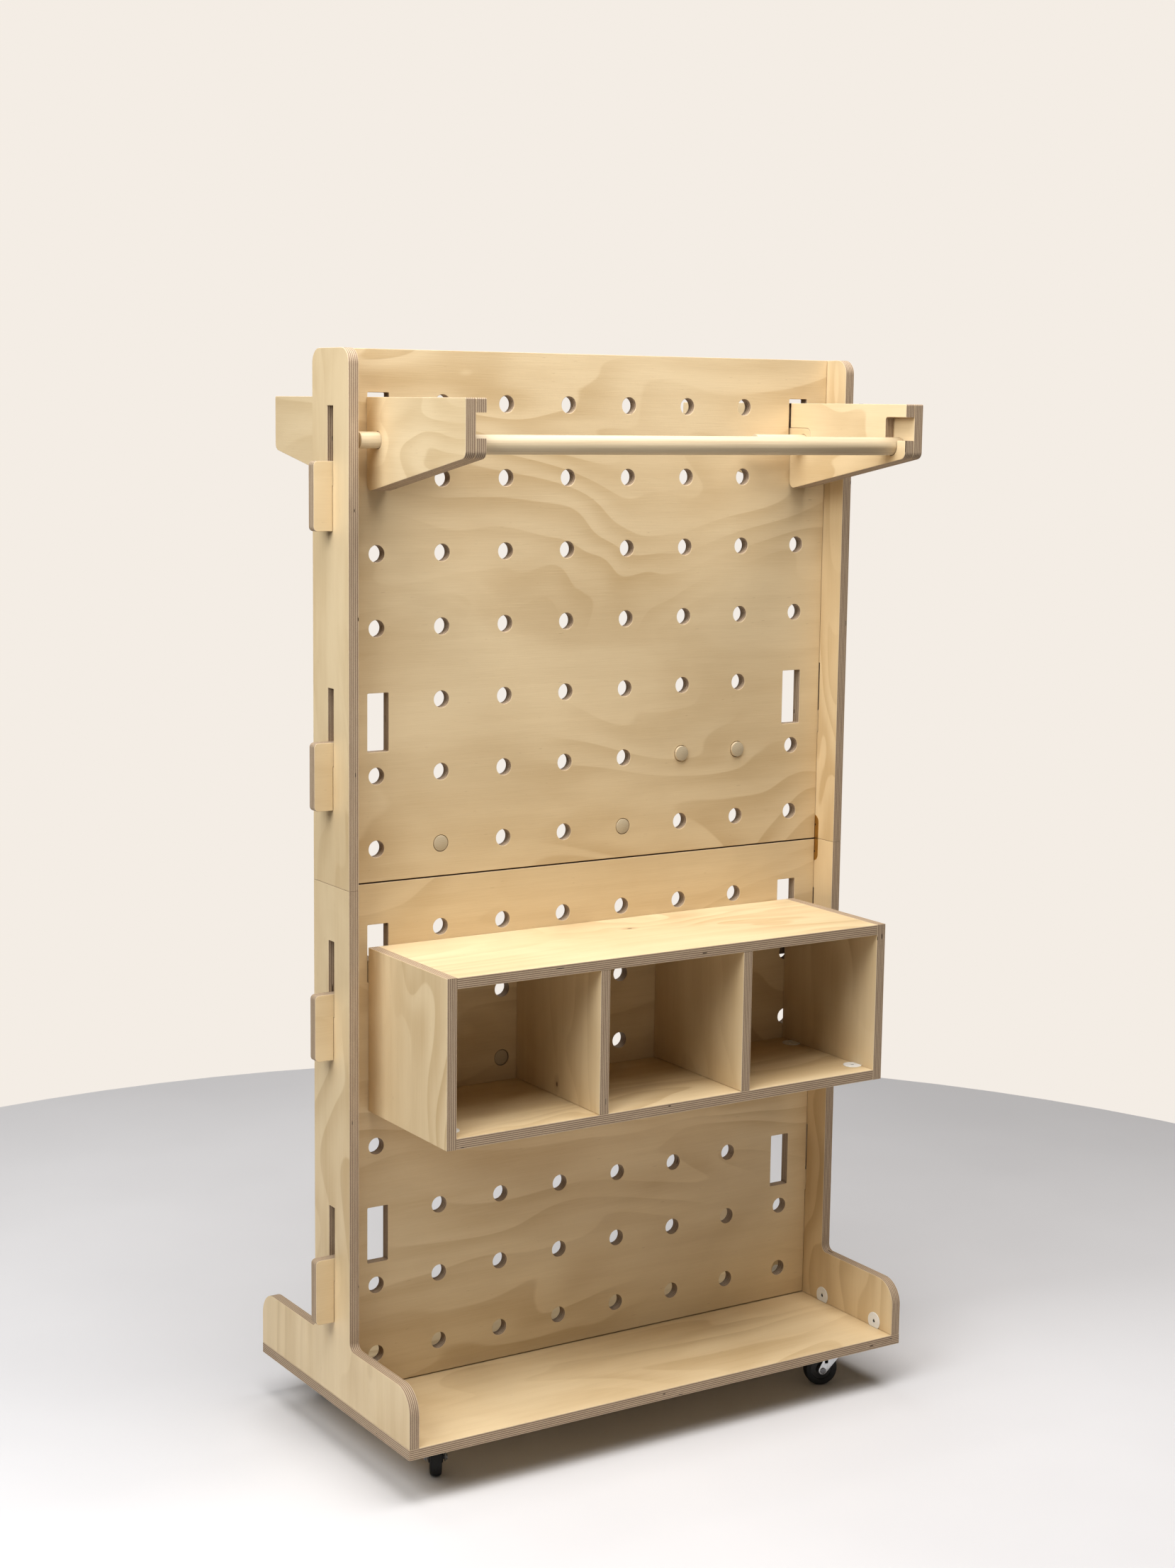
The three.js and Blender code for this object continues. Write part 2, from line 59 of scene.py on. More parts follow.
def add_camera():
    """The camera looks along +Y at yaw 0, turns to +X with yaw and up with pitch."""
    data = bpy.data.cameras.new("camera")
    data.lens = CAMERA_LENS
    data.sensor_width = SENSOR_WIDTH
    camera = bpy.data.objects.new("camera", data)
    bpy.context.scene.collection.objects.link(camera)
    ahead = Vector((
        math.sin(CAMERA_YAW) * math.cos(CAMERA_PITCH),
        math.cos(CAMERA_YAW) * math.cos(CAMERA_PITCH),
        math.sin(CAMERA_PITCH),
    ))
    level = Vector((math.cos(CAMERA_YAW), -math.sin(CAMERA_YAW), 0.0))
    upright = level.cross(ahead)
    right = math.cos(CAMERA_ROLL) * level + math.sin(CAMERA_ROLL) * upright
    up = math.cos(CAMERA_ROLL) * upright - math.sin(CAMERA_ROLL) * level
    turn = Matrix((right, up, -ahead)).transposed().to_4x4()
    camera.matrix_world = Matrix.Translation(CAMERA_PLACE) @ turn
    bpy.context.scene.camera = camera


add_camera()

# Design

SHEET = 15.0
FIT = 0.3
PLIES = 11
ARRIS = 0.6

CASTER_HEIGHT = 67.0
SIDE_INNER = 400.0
SIDE_OUTER = SIDE_INNER + SHEET
BASE_DEPTH = 450.0
UPRIGHT_DEPTH = 105.0
BASE_TOP = CASTER_HEIGHT + SHEET
FOOT_TOP = BASE_TOP + 80.0
FOOT_RADIUS = 35.0
FOOT_FILLET = 10.0
PANEL_TOP_RADIUS = 20.0
SEAM = BASE_TOP + 720.0
STAND_TOP = SEAM + 715.0

PITCH = 100.0
COLUMNS = 8
ROWS = 7
HOLE_DIAMETER = 23.5
BOARD_HEIGHT = 715.0
BOTTOM_MARGIN = 45.0
LOWER_BOARD = BASE_TOP + 3.0
LOWER_BOARD_SKIRT = 1.5
UPPER_BOARD = SEAM
BOARD_GAP = 0.5
SLOT_ROWS = (1, 5)
SLOT_X = 347.7
SLOT_WIDTH = 32.0
SLOT_ABOVE = 13.0
SLOT_BELOW = 67.0
SLOT_RADIUS = 1.5

TAB_TOPS = (195.0, 568.0)
TAB_HEIGHT = 92.0
NECK_HEIGHT = 33.0
TAB_REACH = 28.0
TAB_RADIUS = 6.0
TAB_SLOT_WIDTH = 17.0
TAB_SLOT_HEIGHT = 105.0
TAB_SLOT_RADIUS = 0.9

BRACKET_REACH = 271.0
BRACKET_TOP = 1454.0
BRACKET_NOSE = 1380.0
BRACKET_HEEL = 1329.0
BRACKET_RADIUS = 10.0
BRACKET_TOP_RADIUS = 2.0
BRACKET_X = 350.0
RAIL_DIAMETER = 25.0
RAIL_LENGTH = 698.0
RAIL_Y = 240.0
RAIL_Z = 1396.0
SEAT_CLEARANCE = 0.5
NOTCH_TOP = 1436.0
NOTCH_RADIUS = 4.0
LIP_TOP = 1404.0
TONGUE_LOW = 1381.2
TONGUE_HIGH = 1418.0
TONGUE_REACH = 55.0
TONGUE_RADIUS = 8.0

DOWEL_DIAMETER = 22.0
DOWEL_LENGTH = 146.0
PIN_Y = -38.0
PIN_Z = 1398.0
PIN_INNER_END = 248.0
PIN_HOLE_DIAMETER = DOWEL_DIAMETER + 1.0
# board bottom, row, column, how far the peg stands proud of the board
PEGS = (
    (UPPER_BOARD, 6, 6, 3.0),
    (UPPER_BOARD, 6, 7, 3.0),
    (UPPER_BOARD, 7, 2, 0.5),
    (UPPER_BOARD, 7, 5, 0.5),
    (LOWER_BOARD, 3, 3, -1.0),
)

BOX_WIDTH = 725.0
BOX_HEIGHT = 230.0
BOX_DEPTH = 220.0
BOX_BOTTOM = 482.0
DIVIDER_X = 118.3
BOX_NECK = 30.0
BOX_HOOK_HEIGHT = 70.0
BOX_HOOK_REACH = 22.0
BOX_HOOK_RADIUS = 5.0
# the knots in sight, each in its own sheet's metres
TOP_KNOT = (0.020, -0.075)
DIVIDER_KNOT = (-0.118, 0.514)

LEAF_WIDTH = 32.0
LEAF_LENGTH = 35.0
LEAF_THICKNESS = 2.5
LEAF_RADIUS = 10.0
SCREW_SPREAD = 9.0
SCREW_FROM_SEAM = 20.5
LEAF_PROUD = 0.3
LEAF_ARRIS = 0.3
LINK_HALF = 5.0
LINK_NEAR = 1.2
LINK_FAR = 9.0
LINK_THICKNESS = 1.6

CAM_SETBACK = 9.5
CAM_FLANGE = 13.5
CAM_THICKNESS = 1.3
CAM_ARRIS = 0.35
BASE_CAMS = (-184.5, -58.0, 58.0, 184.5)
BOX_CAMS = (-191.5, -43.5)

CASTER_X = 340.0
CASTER_Y = 163.0
CASTER_TRAIL = 20.0
WHEEL_RADIUS = 25.0
PLATE_HALF = 25.0
PLATE_THICKNESS = 2.5
PLATE_SCREW = 19.0
LEG_Y = 12.7
LEG_HALF = 13.0
LEG_TOP = 54.0
LEG_THICKNESS = 2.0
LEG_END_RADIUS = 6.5
AXLE_DIAMETER = 6.0
AXLE_LENGTH = 29.6
AXLE_HEAD_Z = 14.9
AXLE_HEAD_THICKNESS = 2.6
CASTERS = (
    ("front_left", -1, -1, 63.0),
    ("front_right", 1, -1, 161.0),
    ("rear_left", -1, 1, 75.0),
    ("rear_right", 1, 1, 130.0),
)


# Node materials


class Graph:
    """A new node material and short ways to add to it."""

    def __init__(self, name):
        self.material = bpy.data.materials.new(name)
        self.material.use_nodes = True
        self.tree = self.material.node_tree
        self.shader = next(node for node in self.tree.nodes if node.type == "BSDF_PRINCIPLED")

    def put(self, socket, value):
        if isinstance(value, bpy.types.NodeSocket):
            self.tree.links.new(value, socket)
        else:
            socket.default_value = value

    def math(self, operation, a, b=0.0, clamp=False):
        node = self.tree.nodes.new("ShaderNodeMath")
        node.operation = operation
        node.use_clamp = clamp
        self.put(node.inputs[0], a)
        self.put(node.inputs[1], b)
        return node.outputs[0]

    def add(self, a, b, clamp=False):
        return self.math("ADD", a, b, clamp)

    def minus(self, a, b):
        return self.math("SUBTRACT", a, b)

    def times(self, a, b):
        return self.math("MULTIPLY", a, b)

    def flipped(self, a):
        return self.minus(1.0, a)

    def length(self, a, b):
        return self.math("SQRT", self.add(self.math("POWER", a, 2.0), self.math("POWER", b, 2.0)))

    def blend(self, factor, a, b):
        """a at factor 0 and b at factor 1, both numbers."""
        return self.add(self.times(self.minus(b, a), factor), a)

    def step(self, value, low, high):
        """0 below low, 1 above high, smooth between."""
        node = self.tree.nodes.new("ShaderNodeMapRange")
        node.interpolation_type = "SMOOTHSTEP"
        self.put(node.inputs["Value"], value)
        self.put(node.inputs["From Min"], low)
        self.put(node.inputs["From Max"], high)
        return node.outputs["Result"]

    def split(self, vector):
        node = self.tree.nodes.new("ShaderNodeSeparateXYZ")
        self.put(node.inputs[0], vector)
        return node.outputs["X"], node.outputs["Y"], node.outputs["Z"]

    def join(self, x, y, z):
        node = self.tree.nodes.new("ShaderNodeCombineXYZ")
        self.put(node.inputs["X"], x)
        self.put(node.inputs["Y"], y)
        self.put(node.inputs["Z"], z)
        return node.outputs[0]

    def stretch(self, parts, factors):
        """The vector of x, y and z, each times its factor."""
        return self.join(*(self.times(part, factor) for part, factor in zip(parts, factors)))

    def noise(self, vector, detail=2.0, roughness=0.5, distortion=0.0):
        node = self.tree.nodes.new("ShaderNodeTexNoise")
        node.inputs["Scale"].default_value = 1.0
        node.inputs["Detail"].default_value = detail
        node.inputs["Roughness"].default_value = roughness
        node.inputs["Distortion"].default_value = distortion
        self.put(node.inputs["Vector"], vector)
        return node.outputs[0]

    def mix(self, factor, a, b):
        """a at factor 0 and b at factor 1, both colours."""
        node = self.tree.nodes.new("ShaderNodeMix")
        node.data_type = "RGBA"
        self.put(node.inputs["Factor"], factor)
        inputs = [socket for socket in node.inputs if socket.type == "RGBA"]
        for socket, value in zip(inputs, (a, b)):
            self.put(socket, value if isinstance(value, bpy.types.NodeSocket) else (*value, 1.0))
        return next(socket for socket in node.outputs if socket.type == "RGBA")

    def place(self):
        """Object-space position and normal."""
        node = self.tree.nodes.new("ShaderNodeTexCoord")
        return node.outputs["Object"], node.outputs["Normal"]

    def piece_value(self, name):
        """A number kept on the piece itself."""
        node = self.tree.nodes.new("ShaderNodeAttribute")
        node.attribute_type = "OBJECT"
        node.attribute_name = name
        return node.outputs["Fac"]

    def bump(self, height, strength, distance):
        node = self.tree.nodes.new("ShaderNodeBump")
        node.inputs["Strength"].default_value = strength
        node.inputs["Distance"].default_value = distance
        self.put(node.inputs["Height"], height)
        self.put(self.shader.inputs["Normal"], node.outputs[0])

    def finish(self, color, roughness, metallic=0.0):
        self.put(self.shader.inputs["Base Color"], color)
        self.put(self.shader.inputs["Roughness"], roughness)
        self.put(self.shader.inputs["Metallic"], metallic)
        return self.material


FACE_PALE = (0.760, 0.610, 0.395)
FACE_DEEP = (0.520, 0.370, 0.195)
FACE_FLECK = (0.330, 0.200, 0.100)
KNOT = (0.100, 0.050, 0.025)
EDGE_SIDE_GRAIN = (0.570, 0.450, 0.320)
EDGE_END_GRAIN = (0.230, 0.155, 0.102)
EDGE_GLUE = (0.150, 0.095, 0.060)
# painted shade inside a core void
VOID_PAINTED_SHADE = (0.030, 0.017, 0.010)
DOWEL_PALE = (0.690, 0.575, 0.400)
DOWEL_DEEP = (0.430, 0.310, 0.185)
DOWEL_END_PALE = (0.60, 0.52, 0.38)
DOWEL_END_DEEP = (0.44, 0.35, 0.23)
# metres from the dowel's centre line to the middle of its growth rings
DOWEL_PITH = 0.021


def plywood():
    """Birch plywood: rotary-cut face veneer and striped edges, in each sheet's own axes.

    The sheet's thickness runs along its own Z. The face grain runs along its own X, or along Y on
    pieces with grain_turned 1. grain_shift moves the figure, so that no two sheets match. knot_x and
    knot_y place one small knot.
    """
    g = Graph("birch_plywood")
    position, normal = g.place()
    x, y, z = g.split(position)
    nz = g.split(normal)[2]
    turned = g.piece_value("grain_turned")
    shift = g.piece_value("grain_shift")
    along = g.add(g.blend(turned, x, y), g.times(shift, 3.7))
    across = g.add(g.blend(turned, y, x), shift)
    slow = g.noise(g.stretch((along, across, z), (1.5, 3.6, 3.6)), 2.0, 0.45, 0.9)

    # face: contour bands of a slow field make the flowing figure of rotary-cut birch
    field = g.add(g.times(across, 11.0), g.times(slow, 7.0))
    rings = g.math("FRACT", g.times(field, 1.5))
    band = g.times(g.step(rings, 0.10, 0.93), g.flipped(g.step(rings, 0.93, 1.0)))
    faint = g.noise(g.stretch((along, across, z), (2.5, 4.0, 4.0)), 1.0)
    band = g.times(band, g.step(faint, 0.36, 0.66))
    fibre = g.noise(g.stretch((along, across, z), (22.0, 620.0, 620.0)), 3.0, 0.6)
    streak = g.noise(g.stretch((along, across, z), (2.2, 46.0, 46.0)), 3.0, 0.55)
    cloud = g.noise(g.stretch((along, across, z), (3.0, 6.5, 6.5)), 3.0, 0.5, 0.6)
    depth = g.add(g.times(band, 0.44), g.times(g.step(streak, 0.3, 0.8), 0.16))
    depth = g.add(depth, g.times(g.step(cloud, 0.3, 0.7), 0.34))
    depth = g.add(depth, g.times(g.minus(fibre, 0.5), 0.26), clamp=True)
    face = g.mix(depth, FACE_PALE, FACE_DEEP)
    fleck = g.noise(g.stretch((along, across, z), (60.0, 520.0, 520.0)), 1.0, 0.4)
    face = g.mix(g.times(g.step(fleck, 0.75, 0.82), 0.30), face, FACE_FLECK)
    knot_x = g.minus(x, g.piece_value("knot_x"))
    knot_y = g.minus(y, g.piece_value("knot_y"))
    knot_long = g.blend(turned, knot_x, knot_y)
    knot_wide = g.times(g.blend(turned, knot_y, knot_x), 1.9)
    from_knot = g.add(g.length(knot_long, knot_wide), g.times(g.minus(fibre, 0.5), 0.004))
    halo = g.times(g.flipped(g.step(from_knot, 0.004, 0.020)), 0.40)
    face = g.mix(halo, face, FACE_FLECK)
    core = g.flipped(g.step(from_knot, 0.0025, 0.0050))
    face = g.mix(g.times(core, 0.85), face, KNOT)

    # edge: pale and dark plies take turns, with glue lines between and a rare core void, painted
    # near-black as the shade inside it
    level = g.times(g.add(g.math("DIVIDE", z, SHEET * MM), 0.5), float(PLIES))
    layer = g.math("FLOOR", level)
    inside = g.math("FRACT", level)
    odd = g.times(g.math("FRACT", g.times(layer, 0.5)), 2.0)
    per_layer = g.noise(g.join(
        g.times(x, 16.0),
        g.times(y, 16.0),
        g.add(g.times(layer, 5.3), shift),
    ), 2.0, 0.5)
    grit = g.noise(g.stretch((x, y, z), (900.0, 900.0, 900.0)), 2.0, 0.6)
    line = g.noise(g.stretch((x, y, z), (40.0, 40.0, 2400.0)), 2.0, 0.6)
    end_grain = g.add(g.times(odd, 0.78), g.times(per_layer, 0.40))
    end_grain = g.add(end_grain, g.times(g.minus(grit, 0.5), 0.55))
    end_grain = g.add(end_grain, g.times(g.minus(line, 0.62), 0.6), clamp=True)
    edge = g.mix(end_grain, EDGE_SIDE_GRAIN, EDGE_END_GRAIN)
    seam = g.math("ABSOLUTE", g.minus(inside, 0.5))
    edge = g.mix(g.times(g.step(seam, 0.44, 0.50), 0.45), edge, EDGE_GLUE)
    voids = g.noise(g.join(
        g.times(x, 34.0),
        g.times(y, 34.0),
        g.add(g.times(layer, 9.1), g.times(shift, 5.0)),
    ), 1.0, 0.4)
    void = g.times(g.step(voids, 0.765, 0.785), g.flipped(g.step(seam, 0.34, 0.46)))
    edge = g.mix(void, edge, VOID_PAINTED_SHADE)

    on_face = g.step(g.math("ABSOLUTE", nz), 0.55, 0.80)
    color = g.mix(on_face, edge, face)
    face_height = g.add(fibre, g.times(band, 0.3))
    edge_height = g.add(g.times(grit, 0.6), g.times(line, 0.6))
    edge_height = g.minus(edge_height, g.times(void, 3.0))
    height = g.blend(on_face, edge_height, face_height)
    g.bump(height, 0.35, 0.0004)
    face_rough = g.blend(g.step(streak, 0.3, 0.7), 0.46, 0.58)
    rough = g.blend(on_face, 0.78, face_rough)
    return g.finish(color, rough)


def dowel_wood():
    """Sanded birch dowel, its grain along its own Z."""
    g = Graph("birch_dowel")
    position, normal = g.place()
    x, y, z = g.split(position)
    nz = g.split(normal)[2]
    shift = g.piece_value("grain_shift")
    lengthwise = g.add(z, shift)
    fibre = g.noise(g.stretch((x, y, lengthwise), (750.0, 750.0, 9.0)), 3.0, 0.6)
    streak = g.noise(g.stretch((x, y, lengthwise), (130.0, 130.0, 2.0)), 2.0, 0.5)
    cloud = g.noise(g.stretch((x, y, lengthwise), (12.0, 12.0, 6.0)), 2.0, 0.5)
    depth = g.add(g.times(g.step(streak, 0.35, 0.75), 0.45), g.times(cloud, 0.25))
    depth = g.add(depth, g.times(g.minus(fibre, 0.5), 0.7), clamp=True)
    side = g.mix(depth, DOWEL_PALE, DOWEL_DEEP)
    radius = g.length(g.add(x, DOWEL_PITH), y)
    wobble = g.noise(g.stretch((x, y, z), (90.0, 90.0, 90.0)), 2.0)
    rings = g.add(g.times(radius, 620.0), g.times(wobble, 2.4))
    ring = g.step(g.math("FRACT", rings), 0.1, 0.95)
    pores = g.noise(g.stretch((x, y, z), (1900.0, 1900.0, 1900.0)), 1.0)
    end_depth = g.add(g.times(ring, 0.5), g.times(pores, 0.5), clamp=True)
    end = g.mix(end_depth, DOWEL_END_PALE, DOWEL_END_DEEP)
    on_end = g.step(g.math("ABSOLUTE", nz), 0.6, 0.85)
    color = g.mix(on_end, side, end)
    g.bump(g.blend(on_end, fibre, pores), 0.3, 0.0003)
    return g.finish(color, g.blend(on_end, 0.55, 0.8))


EVEN_GRAIN = (300.0, 300.0, 300.0)


def speckled(name, pale, deep, rough_low, rough_high, metallic=0.0, grain=EVEN_GRAIN, bump=0.15):
    """A stock of two close tones, with its roughness and a fine bump driven by the same grain."""
    g = Graph(name)
    position, _ = g.place()
    parts = g.split(position)
    fine = g.noise(g.stretch(parts, grain), 3.0, 0.6)
    broad = g.noise(g.stretch(parts, [f / 12.0 for f in grain]), 2.0, 0.5)
    depth = g.add(g.times(fine, 0.45), g.times(broad, 0.55), clamp=True)
    color = g.mix(g.step(depth, 0.3, 0.7), pale, deep)
    g.bump(fine, bump, 0.0002)
    return g.finish(color, g.blend(g.step(broad, 0.3, 0.7), rough_low, rough_high), metallic)


PLYWOOD = plywood()
DOWEL = dowel_wood()
BRASS = speckled("brass", (0.60, 0.40, 0.16), (0.42, 0.26, 0.09), 0.26, 0.42, 1.0, (40.0, 40.0, 900.0))
NYLON = speckled("white_nylon", (0.83, 0.83, 0.82), (0.76, 0.76, 0.74), 0.42, 0.55)
ZINC = speckled("zinc", (0.74, 0.75, 0.77), (0.60, 0.62, 0.65), 0.24, 0.40, 1.0, (500.0, 500.0, 90.0))
# steel's own grey, darkened further as painted shade for the axle, head and nut in the shade under the
# base
STEEL_WITH_PAINTED_SHADE = speckled("steel", (0.30, 0.30, 0.31), (0.18, 0.18, 0.19), 0.35, 0.50, 1.0)
RUBBER = speckled("black_rubber", (0.012, 0.012, 0.013), (0.022, 0.022, 0.022), 0.55, 0.72, bump=0.4)
HUB = speckled("wheel_hub", (0.018, 0.018, 0.019), (0.030, 0.030, 0.030), 0.34, 0.46)
# near-black painted shade for the cam sockets, the gaps round the hinge links and the screws' cross
# recesses
PAINTED_SHADE = speckled("painted_shade", (0.010, 0.009, 0.008), (0.020, 0.018, 0.016), 0.7, 0.9)


# Outlines: lists of (x, y) in millimetres


def rounded(corners, steps=8):
    """A closed outline through corners (x, y) or (x, y, radius)."""
    points = []
    for i, corner in enumerate(corners):
        x, y, radius = (*corner, 0.0)[:3]
        here = Vector((x, y))
        if radius == 0:
            points.append((x, y))
            continue
        before = (Vector(corners[i - 1][:2]) - here).normalized()
        after = (Vector(corners[(i + 1) % len(corners)][:2]) - here).normalized()
        half_angle = before.angle(after) / 2
        middle = here + (before + after).normalized() * radius / math.sin(half_angle)
        start = here + before * radius / math.tan(half_angle) - middle
        end = here + after * radius / math.tan(half_angle) - middle
        first = math.atan2(start.y, start.x)
        sweep = math.remainder(math.atan2(end.y, end.x) - first, 2 * math.pi)
        for k in range(steps + 1):
            angle = first + sweep * k / steps
            points.append((middle.x + radius * math.cos(angle), middle.y + radius * math.sin(angle)))
    return points


def circle(x, y, diameter, sides=40):
    angles = [2 * math.pi * k / sides for k in range(sides)]
    return [(x + diameter / 2 * math.cos(a), y + diameter / 2 * math.sin(a)) for a in angles]


def rectangle(left, right, low, high, radius=0.0, steps=6):
    corners = [(left, low), (right, low), (right, high), (left, high)]
    return rounded([(x, y, radius) for x, y in corners], steps)


# Meshes


def signed_area(points):
    return sum(a[0] * b[1] - b[0] * a[1] for a, b in zip(points, points[1:] + points[:1])) / 2


SHARPEST_CORNER = 0.3
ON_AXIS = 1e-6
SMOOTH_LIMIT = math.radians(35)


def inset(points, distance):
    """The loop moved to its left by distance, corner by corner."""
    moved = []
    count = len(points)
    for i in range(count):
        before = Vector(points[i]) - Vector(points[i - 1])
        after = Vector(points[(i + 1) % count]) - Vector(points[i])
        left_before = Vector((-before.y, before.x)).normalized()
        left_after = Vector((-after.y, after.x)).normalized()
        middle = (left_before + left_after) / 2
        shift = middle * distance / max(middle.length_squared, SHARPEST_CORNER)
        moved.append((points[i][0] + shift.x, points[i][1] + shift.y))
    return moved


def sheet_parts(outline, holes, thickness, arris):
    """Vertices and faces of a sheet about its middle plane, with a rounded arris on every edge."""
    loops = [outline if signed_area(outline) > 0 else outline[::-1]]
    loops += [hole if signed_area(hole) < 0 else hole[::-1] for hole in holes]
    half = thickness / 2
    quarter = math.pi / 2
    rings = []
    for turn in (1.0, 0.5, 0.0):
        back = arris * (1 - math.cos(quarter * turn))
        rings.append((back, half - arris * (1 - math.sin(quarter * turn))))
    rings += [(back, -level) for back, level in reversed(rings)]
    vertices = []
    faces = []
    caps = ([], [])
    for loop in loops:
        count = len(loop)
        first = len(vertices)
        for back, level in rings:
            vertices += [(x, y, level) for x, y in inset(loop, back)]
        for r in range(len(rings) - 1):
            for k in range(count):
                a = first + r * count + k
                b = first + r * count + (k + 1) % count
                faces.append((a, a + count, b + count, b))
        caps[0].append(list(range(first, first + count)))
        last = first + (len(rings) - 1) * count
        caps[1].append(list(range(last, last + count)))
    for cap, upward in zip(caps, (True, False)):
        flat = [i for loop in cap for i in loop]
        triangles = tessellate_polygon([[Vector((*vertices[i][:2], 0.0)) for i in loop] for loop in cap])
        for triangle in triangles:
            corners = [flat[i] for i in triangle]
            points = [vertices[i][:2] for i in corners]
            if (signed_area(points) > 0) != upward:
                corners.reverse()
            faces.append(tuple(corners))
    return vertices, faces


def lathe_parts(profile, sides=48):
    """The profile [(radius, z)] turned about Z. Its ends are on the axis, or it closes on itself."""
    closed = profile[0] == profile[-1]
    rows = profile[:-1] if closed else profile
    vertices = []
    index = []
    for radius, z in rows:
        if radius < ON_AXIS:
            index.append([len(vertices)] * sides)
            vertices.append((0.0, 0.0, z))
        else:
            index.append(list(range(len(vertices), len(vertices) + sides)))
            for k in range(sides):
                angle = 2 * math.pi * k / sides
                vertices.append((radius * math.cos(angle), radius * math.sin(angle), z))
    faces = []
    pairs = list(zip(index, index[1:] + index[:1])) if closed else list(zip(index, index[1:]))
    for low, high in pairs:
        for k in range(sides):
            j = (k + 1) % sides
            corners = []
            for i in (low[k], low[j], high[j], high[k]):
                if i not in corners:
                    corners.append(i)
            if len(corners) > 2:
                faces.append(tuple(corners))
    return vertices, faces


def rod_profile(diameter, length, chamfer=1.0):
    radius = diameter / 2
    end = length / 2
    soft = chamfer * 0.3
    return [
        (0.0, -end),
        (radius - chamfer, -end),
        (radius - soft, soft - end),
        (radius, chamfer - end),
        (radius, end - chamfer),
        (radius - soft, end - soft),
        (radius - chamfer, end),
        (0.0, end),
    ]


class Piece:
    """One visible piece, gathered from parts in millimetres and then made into an object."""

    def __init__(self, name):
        self.name = name
        self.vertices = []
        self.faces = []
        self.slots = []
        self.materials = []
        self.smooth = []

    def add(self, parts, material, matrix=Matrix.Identity(4), smooth=False):
        vertices, faces = parts
        first = len(self.vertices)
        self.vertices += [matrix @ Vector(v) for v in vertices]
        self.faces += [tuple(first + i for i in face) for face in faces]
        if material not in self.materials:
            self.materials.append(material)
        self.slots += [self.materials.index(material)] * len(faces)
        self.smooth += [smooth] * len(faces)
        return self

    def make(self, matrix, body, nodes, slot, **values):
        """The object, placed by a matrix in millimetres, that rides on body and stands for nodes."""
        mesh = bpy.data.meshes.new(self.name)
        mesh.from_pydata([v * MM for v in self.vertices], [], self.faces)
        for material in self.materials:
            mesh.materials.append(material)
        mesh.polygons.foreach_set("material_index", self.slots)
        mesh.polygons.foreach_set("use_smooth", self.smooth)
        mesh.validate()
        if any(self.smooth):
            mesh.set_sharp_from_angle(angle=SMOOTH_LIMIT)
        piece = bpy.data.objects.new(self.name, mesh)
        bpy.context.scene.collection.objects.link(piece)
        place = matrix.copy()
        place.translation = matrix.translation * MM
        piece.matrix_world = place
        for key, value in values.items():
            piece[key] = value
        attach(piece, body)
        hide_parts(*nodes)


def axes(x, y, z, place=(0.0, 0.0, 0.0)):
    """The matrix that turns a piece's own axes to x, y and z and moves it to place."""
    return Matrix.Translation(place) @ Matrix((x, y, z)).transposed().to_4x4()


X = (1.0, 0.0, 0.0)
Y = (0.0, 1.0, 0.0)
Z = (0.0, 0.0, 1.0)
MINUS_Y = (0.0, -1.0, 0.0)
# metres, well off any sheet
NO_KNOT = (9.0, 9.0)


def facing(y):
    """Outline in X and Z about the plane at y."""
    return axes(X, Z, MINUS_Y, (0.0, y, 0.0))


def sideways(x):
    """Outline in Y and Z about the plane at x."""
    return axes(Y, Z, X, (x, 0.0, 0.0))


def flat(z):
    """Outline in X and Y about the plane at z."""
    return axes(X, Y, Z, (0.0, 0.0, z))


def add_sheet(name, outline, holes, matrix, body, turned, shift, knot=NO_KNOT):
    """A plywood sheet on its body. turned, shift and knot set its grain, as plywood() says."""
    piece = Piece(f"{name}_ply").add(sheet_parts(outline, holes, SHEET, ARRIS), PLYWOOD)
    values = {
        "grain_turned": float(turned),
        "grain_shift": shift,
        "knot_x": knot[0],
        "knot_y": knot[1],
    }
    piece.make(matrix, body, [name], "birch_plywood", **values)


# Base and side panels


def add_base():
    depth = BASE_DEPTH / 2
    outline = rectangle(-SIDE_OUTER, SIDE_OUTER, -depth, depth)
    add_sheet("base_board", outline, [], flat(CASTER_HEIGHT + SHEET / 2), "stand_frame", False, 0.31)


def tab_slots(board_bottom):
    """The slots in a side panel that the hooks of one pegboard drop into."""
    slots = []
    half = TAB_SLOT_WIDTH / 2
    for top in TAB_TOPS:
        low = board_bottom + top - NECK_HEIGHT
        slots.append(rectangle(-half, half, low, low + TAB_SLOT_HEIGHT, TAB_SLOT_RADIUS, 2))
    return slots


def add_side_panels(side, side_name, shift):
    front = -BASE_DEPTH / 2
    deep = UPRIGHT_DEPTH / 2
    lower = rounded([
        (front, BASE_TOP + FIT),
        (-front, BASE_TOP + FIT),
        (-front, FOOT_TOP, FOOT_RADIUS),
        (deep, FOOT_TOP, FOOT_FILLET),
        (deep, SEAM - FIT),
        (-deep, SEAM - FIT),
        (-deep, FOOT_TOP, FOOT_FILLET),
        (front, FOOT_TOP, FOOT_RADIUS),
    ], 14)
    upper = rounded([
        (-deep, SEAM),
        (deep, SEAM),
        (deep, STAND_TOP, PANEL_TOP_RADIUS),
        (-deep, STAND_TOP, PANEL_TOP_RADIUS),
    ], 12)
    place = sideways(side * (SIDE_INNER + SHEET / 2))
    name = f"side_panel_lower_{side_name}"
    add_sheet(name, lower, tab_slots(LOWER_BOARD), place, "stand_frame", True, shift)
    name = f"side_panel_upper_{side_name}"
    add_sheet(name, upper, tab_slots(UPPER_BOARD), place, "stand_frame", True, shift + 0.37)


# Pegboards


def column_x(column):
    return (column - (COLUMNS + 1) / 2) * PITCH


def row_height(row):
    return BOTTOM_MARGIN + (ROWS - row) * PITCH


